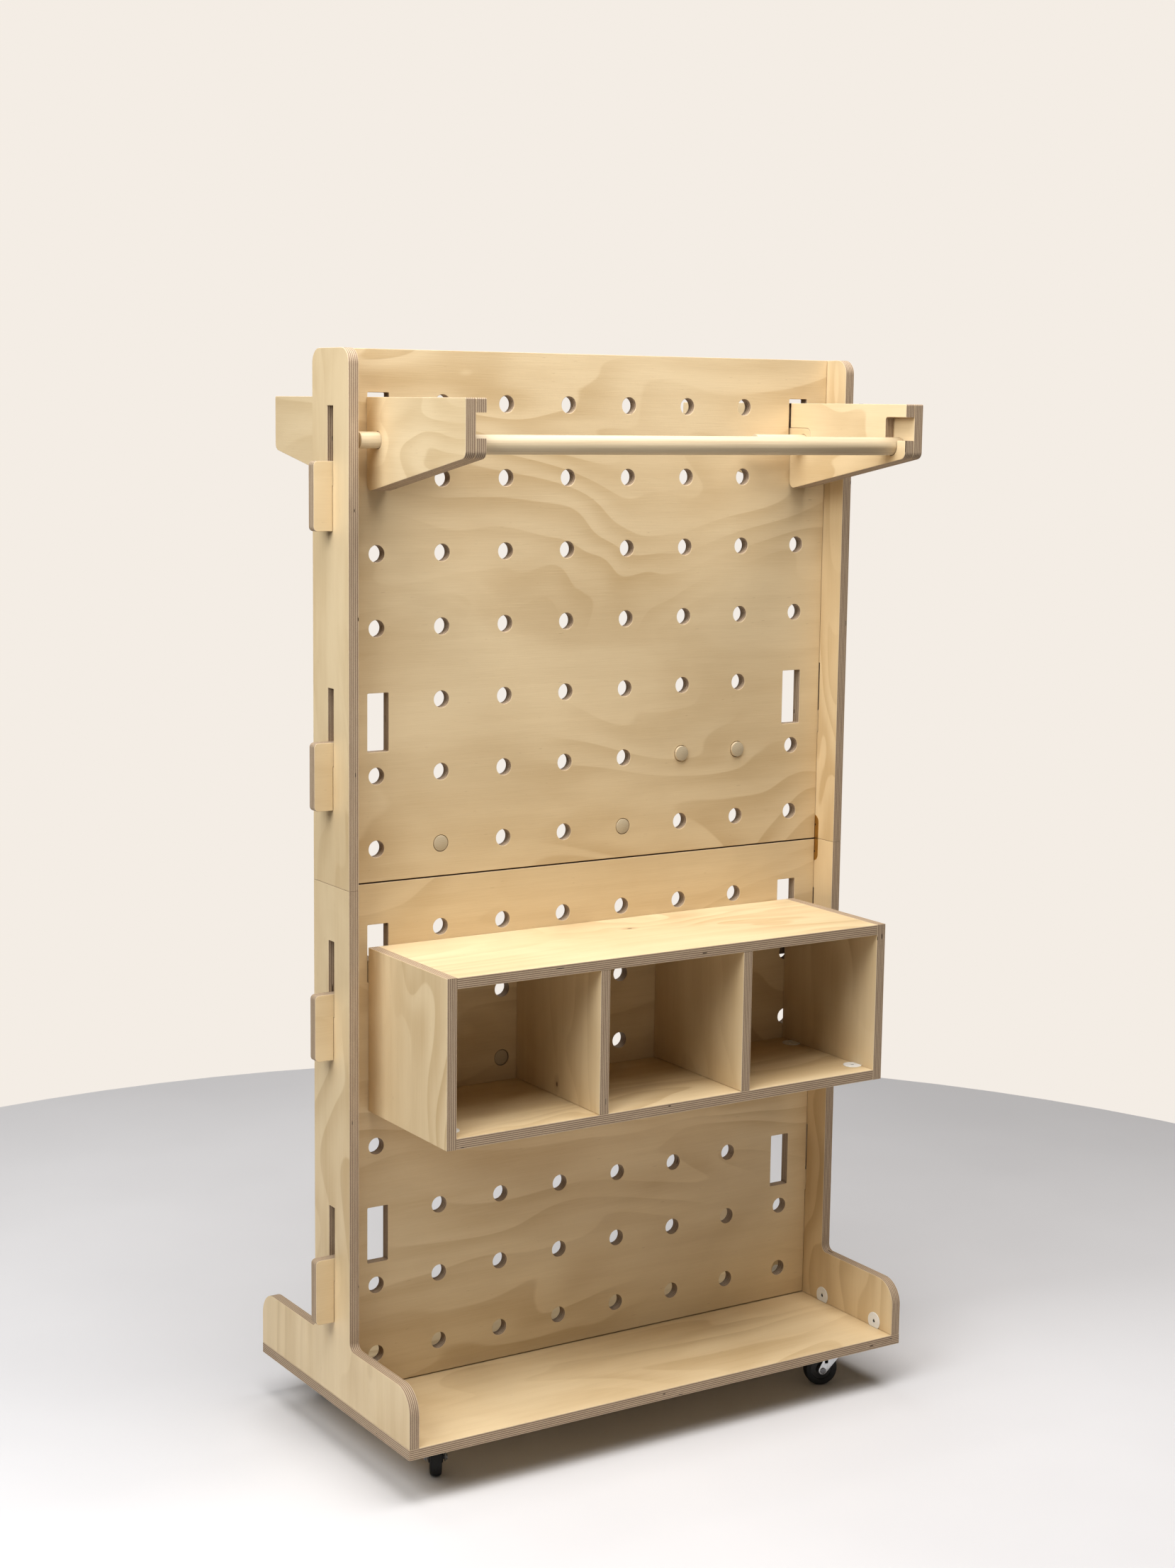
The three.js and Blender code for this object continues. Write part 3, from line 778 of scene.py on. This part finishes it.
def pegboard_outline(low):
    """From the bottom edge up the right edge and down the left one, with two hooks on each."""
    edge = SIDE_INNER - BOARD_GAP
    hook_inner = SIDE_OUTER + BOARD_GAP
    hook_outer = SIDE_OUTER + TAB_REACH
    right = []
    for top in TAB_TOPS:
        right += [
            (edge, top - NECK_HEIGHT + FIT, 0.0),
            (hook_inner, top - NECK_HEIGHT + FIT, 0.0),
            (hook_inner, top - TAB_HEIGHT, 0.0),
            (hook_outer, top - TAB_HEIGHT, TAB_RADIUS),
            (hook_outer, top, TAB_RADIUS),
            (edge, top, 0.0),
        ]
    left = [(-x, z, radius) for x, z, radius in reversed(right)]
    return rounded([
        (-edge, low),
        (edge, low),
        *right,
        (edge, BOARD_HEIGHT),
        (-edge, BOARD_HEIGHT),
        *left,
    ])


def pegboard_holes():
    holes = []
    for row in range(1, ROWS + 1):
        for column in range(1, COLUMNS + 1):
            x = column_x(column)
            z = row_height(row)
            if row in SLOT_ROWS and column in (1, COLUMNS):
                left = (SLOT_X if x > 0 else -SLOT_X) - SLOT_WIDTH / 2
                low = z - SLOT_BELOW
                holes.append(rectangle(left, left + SLOT_WIDTH, low, z + SLOT_ABOVE, SLOT_RADIUS, 4))
            else:
                holes.append(circle(x, z, HOLE_DIAMETER))
    return holes


def add_pegboards():
    for name, bottom, low, body, shift in (
        ("pegboard_lower", LOWER_BOARD, -LOWER_BOARD_SKIRT, "stand_frame", 1.93),
        ("pegboard_upper", UPPER_BOARD, 0.0, "upper_board", 0.64),
    ):
        place = Matrix.Translation((0.0, 0.0, bottom)) @ facing(0.0)
        add_sheet(name, pegboard_outline(low), pegboard_holes(), place, body, False, shift)


# Rail brackets, rails, pins and pegs


def bracket_inner_edge(heel):
    """The inner layer's front and lower edges, with the notch and the rail's seat."""
    seat_radius = RAIL_DIAMETER / 2 + SEAT_CLEARANCE
    steps = 16
    angles = [math.pi * k / steps for k in range(steps + 1)]
    seat = [(RAIL_Y - seat_radius * math.cos(a), RAIL_Z - seat_radius * math.sin(a)) for a in angles]
    return [
        (heel, BRACKET_TOP, 0.0),
        (BRACKET_REACH, BRACKET_TOP, BRACKET_TOP_RADIUS),
        (BRACKET_REACH, NOTCH_TOP, 0.0),
        (RAIL_Y - seat_radius, NOTCH_TOP, NOTCH_RADIUS),
        *seat,
        (RAIL_Y + seat_radius, LIP_TOP, 0.0),
        (BRACKET_REACH, LIP_TOP, 0.0),
        (BRACKET_REACH, BRACKET_NOSE, BRACKET_RADIUS),
        (heel, BRACKET_HEEL, BRACKET_RADIUS),
    ]


def add_bracket(face, side, side_name, shift):
    """face is -1 for the front bracket and 1 for the rear one, whose tongue passes through the board."""
    heel = SHEET / 2 + FIT
    outer = [
        (heel, BRACKET_TOP, 0.0),
        (BRACKET_REACH, BRACKET_TOP, BRACKET_TOP_RADIUS),
        (BRACKET_REACH, BRACKET_NOSE, BRACKET_RADIUS),
        (heel, BRACKET_HEEL, BRACKET_RADIUS),
    ]
    inner = bracket_inner_edge(heel)
    if face < 0:
        inner += [
            (heel, TONGUE_LOW - FIT),
            (TONGUE_REACH + FIT, TONGUE_LOW - FIT, TONGUE_RADIUS),
            (TONGUE_REACH + FIT, TONGUE_HIGH + FIT, TONGUE_RADIUS),
            (heel, TONGUE_HIGH + FIT),
        ]
    else:
        inner += [
            (heel, TONGUE_LOW),
            (-TONGUE_REACH, TONGUE_LOW, TONGUE_RADIUS),
            (-TONGUE_REACH, TONGUE_HIGH, TONGUE_RADIUS),
            (heel, TONGUE_HIGH),
        ]
    pin_hole = [circle(PIN_Y, PIN_Z, PIN_HOLE_DIAMETER)]
    name = f"bracket_{'front' if face < 0 else 'rear'}_{side_name}"
    for layer, edge, holes, x, more in (
        ("outer", outer, pin_hole if face < 0 else [], BRACKET_X + SHEET / 2, 0.0),
        ("inner", inner, [] if face < 0 else pin_hole, BRACKET_X - SHEET / 2 - FIT, 0.53),
    ):
        outline = rounded([(face * corner[0], *corner[1:]) for corner in edge])
        place = sideways(side * x)
        add_sheet(f"{name}_{layer}", outline, holes, place, "upper_board", False, shift + more)


def add_dowel(name, diameter, length, matrix, body, shift):
    rod = lathe_parts(rod_profile(diameter, length), 64)
    piece = Piece(f"{name}_dowel").add(rod, DOWEL, smooth=True)
    piece.make(matrix, body, [name], "birch_dowel", grain_shift=shift)


def add_dowels():
    for name, face, shift in (("rail_front", -1, 0.11), ("rail_rear", 1, 0.77)):
        place = axes(Y, Z, X, (0.0, face * RAIL_Y, RAIL_Z))
        add_dowel(name, RAIL_DIAMETER, RAIL_LENGTH, place, name, shift)
    for side_name, side, shift in (("left", -1, 0.21), ("right", 1, 0.42)):
        middle = side * (PIN_INNER_END + DOWEL_LENGTH / 2)
        place = axes(Y, Z, X, (middle, PIN_Y, PIN_Z))
        name = f"bracket_pin_{side_name}"
        add_dowel(name, DOWEL_DIAMETER, DOWEL_LENGTH, place, name, shift)
    for i, (bottom, row, column, proud) in enumerate(PEGS):
        name = f"peg_{i + 1}"
        middle = DOWEL_LENGTH / 2 - SHEET / 2 - proud
        place = axes(Z, X, Y, (column_x(column), middle, bottom + row_height(row)))
        add_dowel(name, DOWEL_DIAMETER, DOWEL_LENGTH, place, name, 0.9 + 0.13 * i)


# Box


def add_box():
    """Top, floor and dividers stand between the sides, whose hooks pass through the board's slots."""
    front = -SHEET / 2 - BOX_DEPTH
    back = -SHEET / 2 - FIT
    top = BOX_BOTTOM + BOX_HEIGHT
    neck_low = LOWER_BOARD + row_height(1) - SLOT_BELOW + FIT
    neck_high = neck_low + BOX_NECK
    hook_inner = SHEET / 2 + BOARD_GAP
    hook_outer = SHEET / 2 + BOX_HOOK_REACH
    side_outline = rounded([
        (front, BOX_BOTTOM),
        (back, BOX_BOTTOM),
        (back, neck_low),
        (hook_inner, neck_low),
        (hook_inner, neck_high - BOX_HOOK_HEIGHT),
        (hook_outer, neck_high - BOX_HOOK_HEIGHT, BOX_HOOK_RADIUS),
        (hook_outer, neck_high, BOX_HOOK_RADIUS),
        (back, neck_high),
        (back, top),
        (front, top),
    ], 6)
    for side_name, side, shift in (("left", -1, 2.15), ("right", 1, 2.57)):
        place = sideways(side * (BOX_WIDTH - SHEET) / 2)
        add_sheet(f"box_side_{side_name}", side_outline, [], place, "box", True, shift)
    inside = BOX_WIDTH / 2 - SHEET - FIT
    panel = rectangle(-inside, inside, front, back)
    add_sheet("box_top", panel, [], flat(top - SHEET / 2), "box", False, 2.81, TOP_KNOT)
    add_sheet("box_floor", panel, [], flat(BOX_BOTTOM + SHEET / 2), "box", False, 3.12)
    divider = rectangle(front, back, BOX_BOTTOM + SHEET + FIT, top - SHEET - FIT)
    for side_name, side, shift in (("left", -1, 3.41), ("right", 1, 3.66)):
        knot = DIVIDER_KNOT if side < 0 else NO_KNOT
        name = f"box_divider_{side_name}"
        add_sheet(name, divider, [], sideways(side * DIVIDER_X), "box", True, shift, knot)


# Cam housings


def cam_outline():
    """A circle cut off by the flat side that stands on the neighbouring sheet."""
    chord = math.asin((CAM_SETBACK - FIT) / CAM_FLANGE)
    steps = 36
    sweep = math.pi + 2 * chord
    angles = [sweep * k / steps - chord for k in range(steps + 1)]
    return [(CAM_FLANGE * math.cos(a), CAM_FLANGE * math.sin(a)) for a in angles]


def teardrop(radius, tip):
    """A round socket drawn out to a tip, as a screwdriver finds it."""
    steps = 16
    lean = math.acos(radius / tip)
    angles = [lean + (2 * math.pi - 2 * lean) * k / steps for k in range(steps + 1)]
    points = [(radius * math.sin(a), radius * math.cos(a)) for a in angles]
    return [(0.0, tip), *points]


def add_cam(name, matrix, body):
    """The housing faces its own +Z, with its flat side to its own -Y, and stands proud of the sheet."""
    piece = Piece(f"{name}_housing")
    flange = sheet_parts(cam_outline(), [teardrop(2.4, 4.2)], CAM_THICKNESS, CAM_ARRIS)
    piece.add(flange, NYLON, Matrix.Translation((0.0, 0.0, CAM_THICKNESS / 2)))
    # a near-black disc under the socket hole: painted shade for the depth of the cam's socket
    piece.add(lathe_parts([(0.0, -0.5), (6.0, -0.5), (6.0, 0.15), (0.0, 0.15)], 32), PAINTED_SHADE)
    piece.make(matrix, body, [name], "white_nylon")


def add_cams():
    for side_name, side in (("left", -1), ("right", 1)):
        inward = (-float(side), 0.0, 0.0)
        across = Vector(Z).cross(Vector(inward))
        for i, y in enumerate(BASE_CAMS):
            place = axes(across, Z, inward, (side * SIDE_INNER, y, BASE_TOP + CAM_SETBACK))
            add_cam(f"base_cam_{side_name}_{i + 1}", place, "stand_frame")
        x = side * (BOX_WIDTH / 2 - SHEET - CAM_SETBACK)
        for depth_name, y in zip(("front", "rear"), BOX_CAMS):
            place = axes((0.0, float(side), 0.0), inward, Z, (x, y, BOX_BOTTOM + SHEET))
            add_cam(f"box_cam_{side_name}_{depth_name}", place, "box")


# Hinges


def screw_parts(head_diameter):
    """A domed head with a flat rim, standing on z 0."""
    radius = head_diameter / 2
    return lathe_parts([
        (0.0, -0.6),
        (radius, -0.6),
        (radius, 0.0),
        (radius * 0.92, 0.25),
        (radius * 0.55, 0.55),
        (0.0, 0.65),
    ], 24)


def cross_recess_shade_parts(size):
    """A plus-shaped plate for a screw's cross drive, near-black as painted shade in the recess."""
    arm = size / 2
    slim = size / 9
    outline = [
        (arm, slim), (slim, slim), (slim, arm), (-slim, arm), (-slim, slim), (-arm, slim),
        (-arm, -slim), (-slim, -slim), (-slim, -arm), (slim, -arm), (slim, -slim), (arm, -slim),
    ]
    return sheet_parts(outline, [], 0.12, 0.03)


def add_hinges():
    """Each fitting's two leaves lie in its side panel, either side of the seam, with a link between."""
    half = LEAF_WIDTH / 2
    for side_name, side in (("left", -1), ("right", 1)):
        inward = (-float(side), 0.0, 0.0)
        across = Vector(Z).cross(Vector(inward))
        for leaf_name, way in (("lower", -1), ("upper", 1)):
            piece = Piece(f"hinge_{leaf_name}_{side_name}")
            near = way * FIT
            far = way * LEAF_LENGTH
            outline = rounded([
                (-half, near),
                (half, near),
                (half, far, LEAF_RADIUS),
                (-half, far, LEAF_RADIUS),
            ], 12)
            ends = sorted((way * LINK_NEAR, way * LINK_FAR))
            link_slot = rectangle(-LINK_HALF, LINK_HALF, *ends, 1.0, 4)
            leaf = sheet_parts(outline, [link_slot], LEAF_THICKNESS, LEAF_ARRIS)
            piece.add(leaf, BRASS, Matrix.Translation((0.0, 0.0, LEAF_PROUD - LEAF_THICKNESS / 2)))
            link = sheet_parts(inset(link_slot, 0.6), [], LINK_THICKNESS, LEAF_ARRIS)
            piece.add(link, BRASS, Matrix.Translation((0.0, 0.0, LEAF_PROUD - 0.9)))
            # a near-black plate under the link's slot: painted shadow in the gap around the link
            slot_shade = sheet_parts(inset(link_slot, -1.0), [], 1.0, 0.1)
            piece.add(slot_shade, PAINTED_SHADE, Matrix.Translation((0.0, 0.0, -0.45)))
            for y in (-SCREW_SPREAD, SCREW_SPREAD):
                place = Matrix.Translation((y, way * SCREW_FROM_SEAM, LEAF_PROUD - 0.35))
                piece.add(screw_parts(6.4), BRASS, place, smooth=True)
                # painted shade in the screw's cross recess
                piece.add(cross_recess_shade_parts(3.4), PAINTED_SHADE, place @ Matrix.Translation((0.0, 0.0, 0.60)))
            node = f"hinge_leaf_{leaf_name}_{side_name}"
            place = axes(across, Z, inward, (side * SIDE_INNER, 0.0, SEAM))
            piece.make(place, "stand_frame", [node], "brass")


# Casters


def hex_parts(across, height):
    return sheet_parts(circle(0.0, 0.0, 2 * across / math.sqrt(3), 6), [], height, 0.35)


def caster_plate_piece(name):
    """The mounting plate with its ball race below it and a screw in each corner."""
    piece = Piece(name)
    plate_low = CASTER_HEIGHT - FIT - PLATE_THICKNESS
    corners = [(sx, sy) for sx in (-1, 1) for sy in (-1, 1)]
    holes = [circle(sx * PLATE_SCREW, sy * PLATE_SCREW, 5.2, 20) for sx, sy in corners]
    outline = rectangle(-PLATE_HALF, PLATE_HALF, -PLATE_HALF, PLATE_HALF, 5.0, 8)
    plate = sheet_parts(outline, holes, PLATE_THICKNESS, 0.4)
    piece.add(plate, ZINC, Matrix.Translation((0.0, 0.0, plate_low + PLATE_THICKNESS / 2)))
    race = [
        (0.0, 55.2),
        (8.0, 55.2),
        (9.0, 55.0),
        (14.0, 55.0),
        (15.4, 55.8),
        (16.0, 57.4),
        (15.6, 59.2),
        (14.6, 60.0),
        (15.2, 61.0),
        (14.8, 62.6),
        (13.0, plate_low + 0.3),
        (0.0, plate_low + 0.3),
    ]
    piece.add(lathe_parts(race, 48), ZINC, smooth=True)
    for sx, sy in corners:
        place = Matrix.Translation((sx * PLATE_SCREW, sy * PLATE_SCREW, plate_low))
        turn = Matrix.Rotation(math.radians(25 * sx + 40 * sy), 4, "Z")
        head = place @ Matrix.Rotation(math.pi, 4, "X") @ turn
        piece.add(screw_parts(8.0), ZINC, head, smooth=True)
        # painted shade in the screw's cross recess
        piece.add(cross_recess_shade_parts(4.4), PAINTED_SHADE, head @ Matrix.Translation((0.0, 0.0, 0.62)))
    return piece


def fork_leg_outline():
    """Straight across the top, with its sides running down to a round end about the axle."""
    rise = LEG_TOP - WHEEL_RADIUS
    limits = []
    for x, turn in ((-LEG_HALF, 1), (LEG_HALF, -1)):
        reach = math.hypot(x - CASTER_TRAIL, rise)
        lean = math.atan2(rise, x - CASTER_TRAIL)
        limits.append(lean + turn * math.acos(LEG_END_RADIUS / reach))
    start, end = limits[0], limits[1] + 2 * math.pi
    steps = 20
    outline = [(LEG_HALF, LEG_TOP), (-LEG_HALF, LEG_TOP)]
    for k in range(steps + 1):
        angle = start + (end - start) * k / steps
        x = CASTER_TRAIL + LEG_END_RADIUS * math.cos(angle)
        outline.append((x, WHEEL_RADIUS + LEG_END_RADIUS * math.sin(angle)))
    return outline


def caster_fork_piece(name):
    """The crown, two legs with a window each, and the axle with its head and nut."""
    piece = Piece(name)
    crown = [
        (0.0, 52.0),
        (17.5, 52.0),
        (18.6, 52.4),
        (19.0, 53.0),
        (18.4, 54.2),
        (17.4, 54.5),
        (0.0, 54.5),
    ]
    piece.add(lathe_parts(crown, 48), ZINC, smooth=True)
    window = rectangle(12.0, 17.0, 36.0, 43.0, 1.0, 4)
    for side in (-1, 1):
        leg = sheet_parts(fork_leg_outline(), [window], LEG_THICKNESS, 0.5)
        piece.add(leg, ZINC, facing(side * LEG_Y))
    centre = axes(Z, X, Y, (CASTER_TRAIL, 0.0, WHEEL_RADIUS))
    axle = lathe_parts(rod_profile(AXLE_DIAMETER, AXLE_LENGTH, 0.4), 24)
    piece.add(axle, STEEL_WITH_PAINTED_SHADE, centre, smooth=True)
    head = lathe_parts(rod_profile(9.0, AXLE_HEAD_THICKNESS, 0.8), 32)
    piece.add(head, STEEL_WITH_PAINTED_SHADE, centre @ Matrix.Translation((0.0, 0.0, -AXLE_HEAD_Z)), smooth=True)
    nut = hex_parts(8.0, AXLE_HEAD_THICKNESS)
    piece.add(nut, STEEL_WITH_PAINTED_SHADE, centre @ Matrix.Translation((0.0, 0.0, AXLE_HEAD_Z)))
    return piece


def caster_wheel_piece(name):
    """The wheel about its own centre, axle along its own Z."""
    piece = Piece(name)
    tyre = [
        (17.0, -7.4),
        (21.5, -8.0),
        (23.4, -7.6),
        (24.5, -6.0),
        (24.9, -3.5),
        (25.0, 0.0),
        (24.9, 3.5),
        (24.5, 6.0),
        (23.4, 7.6),
        (21.5, 8.0),
        (17.0, 7.4),
        (17.0, -7.4),
    ]
    hub = [
        (3.3, -9.9),
        (7.4, -9.9),
        (8.0, -9.3),
        (8.4, -6.6),
        (15.6, -6.2),
        (16.2, -7.2),
        (17.2, -7.2),
        (17.2, 7.2),
        (16.2, 7.2),
        (15.6, 6.2),
        (8.4, 6.6),
        (8.0, 9.3),
        (7.4, 9.9),
        (3.3, 9.9),
        (3.3, -9.9),
    ]
    piece.add(lathe_parts(tyre, 72), RUBBER, smooth=True)
    piece.add(lathe_parts(hub, 72), HUB, smooth=True)
    return piece


def add_casters():
    for name, side, face, angle in CASTERS:
        pivot = Matrix.Translation((side * CASTER_X, face * CASTER_Y, 0.0))
        turned = pivot @ Matrix.Rotation(math.radians(angle), 4, "Z")
        swivel = f"caster_swivel_{name}"
        plate = caster_plate_piece(f"caster_mount_{name}")
        plate.make(pivot, "stand_frame", [f"caster_plate_{name}"], "zinc_steel")
        fork = caster_fork_piece(f"caster_yoke_{name}")
        fork.make(turned, swivel, [f"caster_fork_{name}"], "zinc_steel")
        wheel = caster_wheel_piece(f"caster_tyre_{name}")
        centre = turned @ axes(Z, X, Y, (CASTER_TRAIL, 0.0, WHEEL_RADIUS))
        wheel.make(centre, f"caster_wheel_{name}", [f"caster_wheel_{name}"], "black_rubber")


# Studio

BACKDROP = (0.76, 0.715, 0.665)
WORLD_COLOR = (1.0, 0.92, 0.82)
WORLD_STRENGTH = 0.04
FLOOR_RADIUS = 1.9
FLOOR_PALE = (0.74, 0.73, 0.74)
FLOOR_DEEP = (0.71, 0.70, 0.71)
# name, size, place, target, power, colour
LIGHTS = (
    ("left", (2.0, 1.6), (-2.3, -0.7, 2.4), (0.0, 0.0, 0.9), 53.0, (0.95, 0.98, 1.0)),
    ("top", (3.0, 1.4), (0.0, -0.6, 3.4), (0.0, -0.1, 0.0), 72.0, (1.0, 0.98, 0.96)),
    ("top_front", (2.4, 1.0), (-0.3, -1.5, 3.2), (0.0, -0.1, 0.6), 27.0, (1.0, 0.98, 0.96)),
    ("front", (2.4, 1.0), (-0.9, -2.6, 0.5), (0.0, 0.0, 0.2), 4.5, (1.0, 0.97, 0.92)),
    ("rear", (2.4, 1.4), (0.0, 2.0, 3.0), (0.0, 0.0, 0.4), 22.0, (1.0, 1.0, 1.0)),
)


def add_light(name, size, place, target, power, color):
    data = bpy.data.lights.new(name, "AREA")
    data.shape = "RECTANGLE"
    data.size, data.size_y = size
    data.energy = power
    data.color = color
    light = bpy.data.objects.new(name, data)
    bpy.context.scene.collection.objects.link(light)
    light.location = place
    aim = Vector(target) - Vector(place)
    light.rotation_mode = "QUATERNION"
    light.rotation_quaternion = aim.to_track_quat("-Z", "Y")


def add_floor():
    g = Graph("studio_floor")
    position, _ = g.place()
    parts = g.split(position)
    soft = g.noise(g.stretch(parts, (1.6, 1.6, 1.6)), 3.0, 0.5)
    fine = g.noise(g.stretch(parts, (220.0, 220.0, 220.0)), 2.0, 0.5)
    color = g.mix(g.step(soft, 0.3, 0.7), FLOOR_PALE, FLOOR_DEEP)
    g.bump(fine, 0.05, 0.0003)
    material = g.finish(color, g.blend(fine, 0.6, 0.75))
    mesh = bpy.data.meshes.new("floor")
    corners = [(x, y, 0.0) for x, y in circle(0.0, 0.0, 2 * FLOOR_RADIUS, 96)]
    mesh.from_pydata(corners, [], [tuple(range(len(corners)))])
    mesh.materials.append(material)
    floor = bpy.data.objects.new("floor", mesh)
    bpy.context.scene.collection.objects.link(floor)


def add_world():
    """The camera sees the backdrop's colour, and the object a faint warm fill."""
    world = bpy.data.worlds.new("studio")
    bpy.context.scene.world = world
    world.use_nodes = True
    tree = world.node_tree
    light_path = tree.nodes.new("ShaderNodeLightPath")
    shown = tree.nodes.new("ShaderNodeMix")
    shown.data_type = "RGBA"
    tree.links.new(light_path.outputs["Is Camera Ray"], shown.inputs["Factor"])
    ambient, seen = [socket for socket in shown.inputs if socket.type == "RGBA"]
    ambient.default_value = (*(part * WORLD_STRENGTH for part in WORLD_COLOR), 1.0)
    seen.default_value = (*BACKDROP, 1.0)
    result = next(socket for socket in shown.outputs if socket.type == "RGBA")
    tree.links.new(result, tree.nodes["Background"].inputs["Color"])


def add_studio():
    add_floor()
    add_world()
    for light in LIGHTS:
        add_light(*light)
    view = bpy.context.scene.view_settings
    view.view_transform = "Standard"
    view.look = "Medium High Contrast"


# Assembly

add_base()
for panel_side, panel_name, panel_shift in ((-1, "left", 0.05), (1, "right", 1.17)):
    add_side_panels(panel_side, panel_name, panel_shift)
    add_bracket(-1, panel_side, panel_name, 4.0 + panel_shift)
    add_bracket(1, panel_side, panel_name, 5.2 + panel_shift)
add_pegboards()
add_dowels()
add_box()
add_cams()
add_hinges()
add_casters()
add_studio()
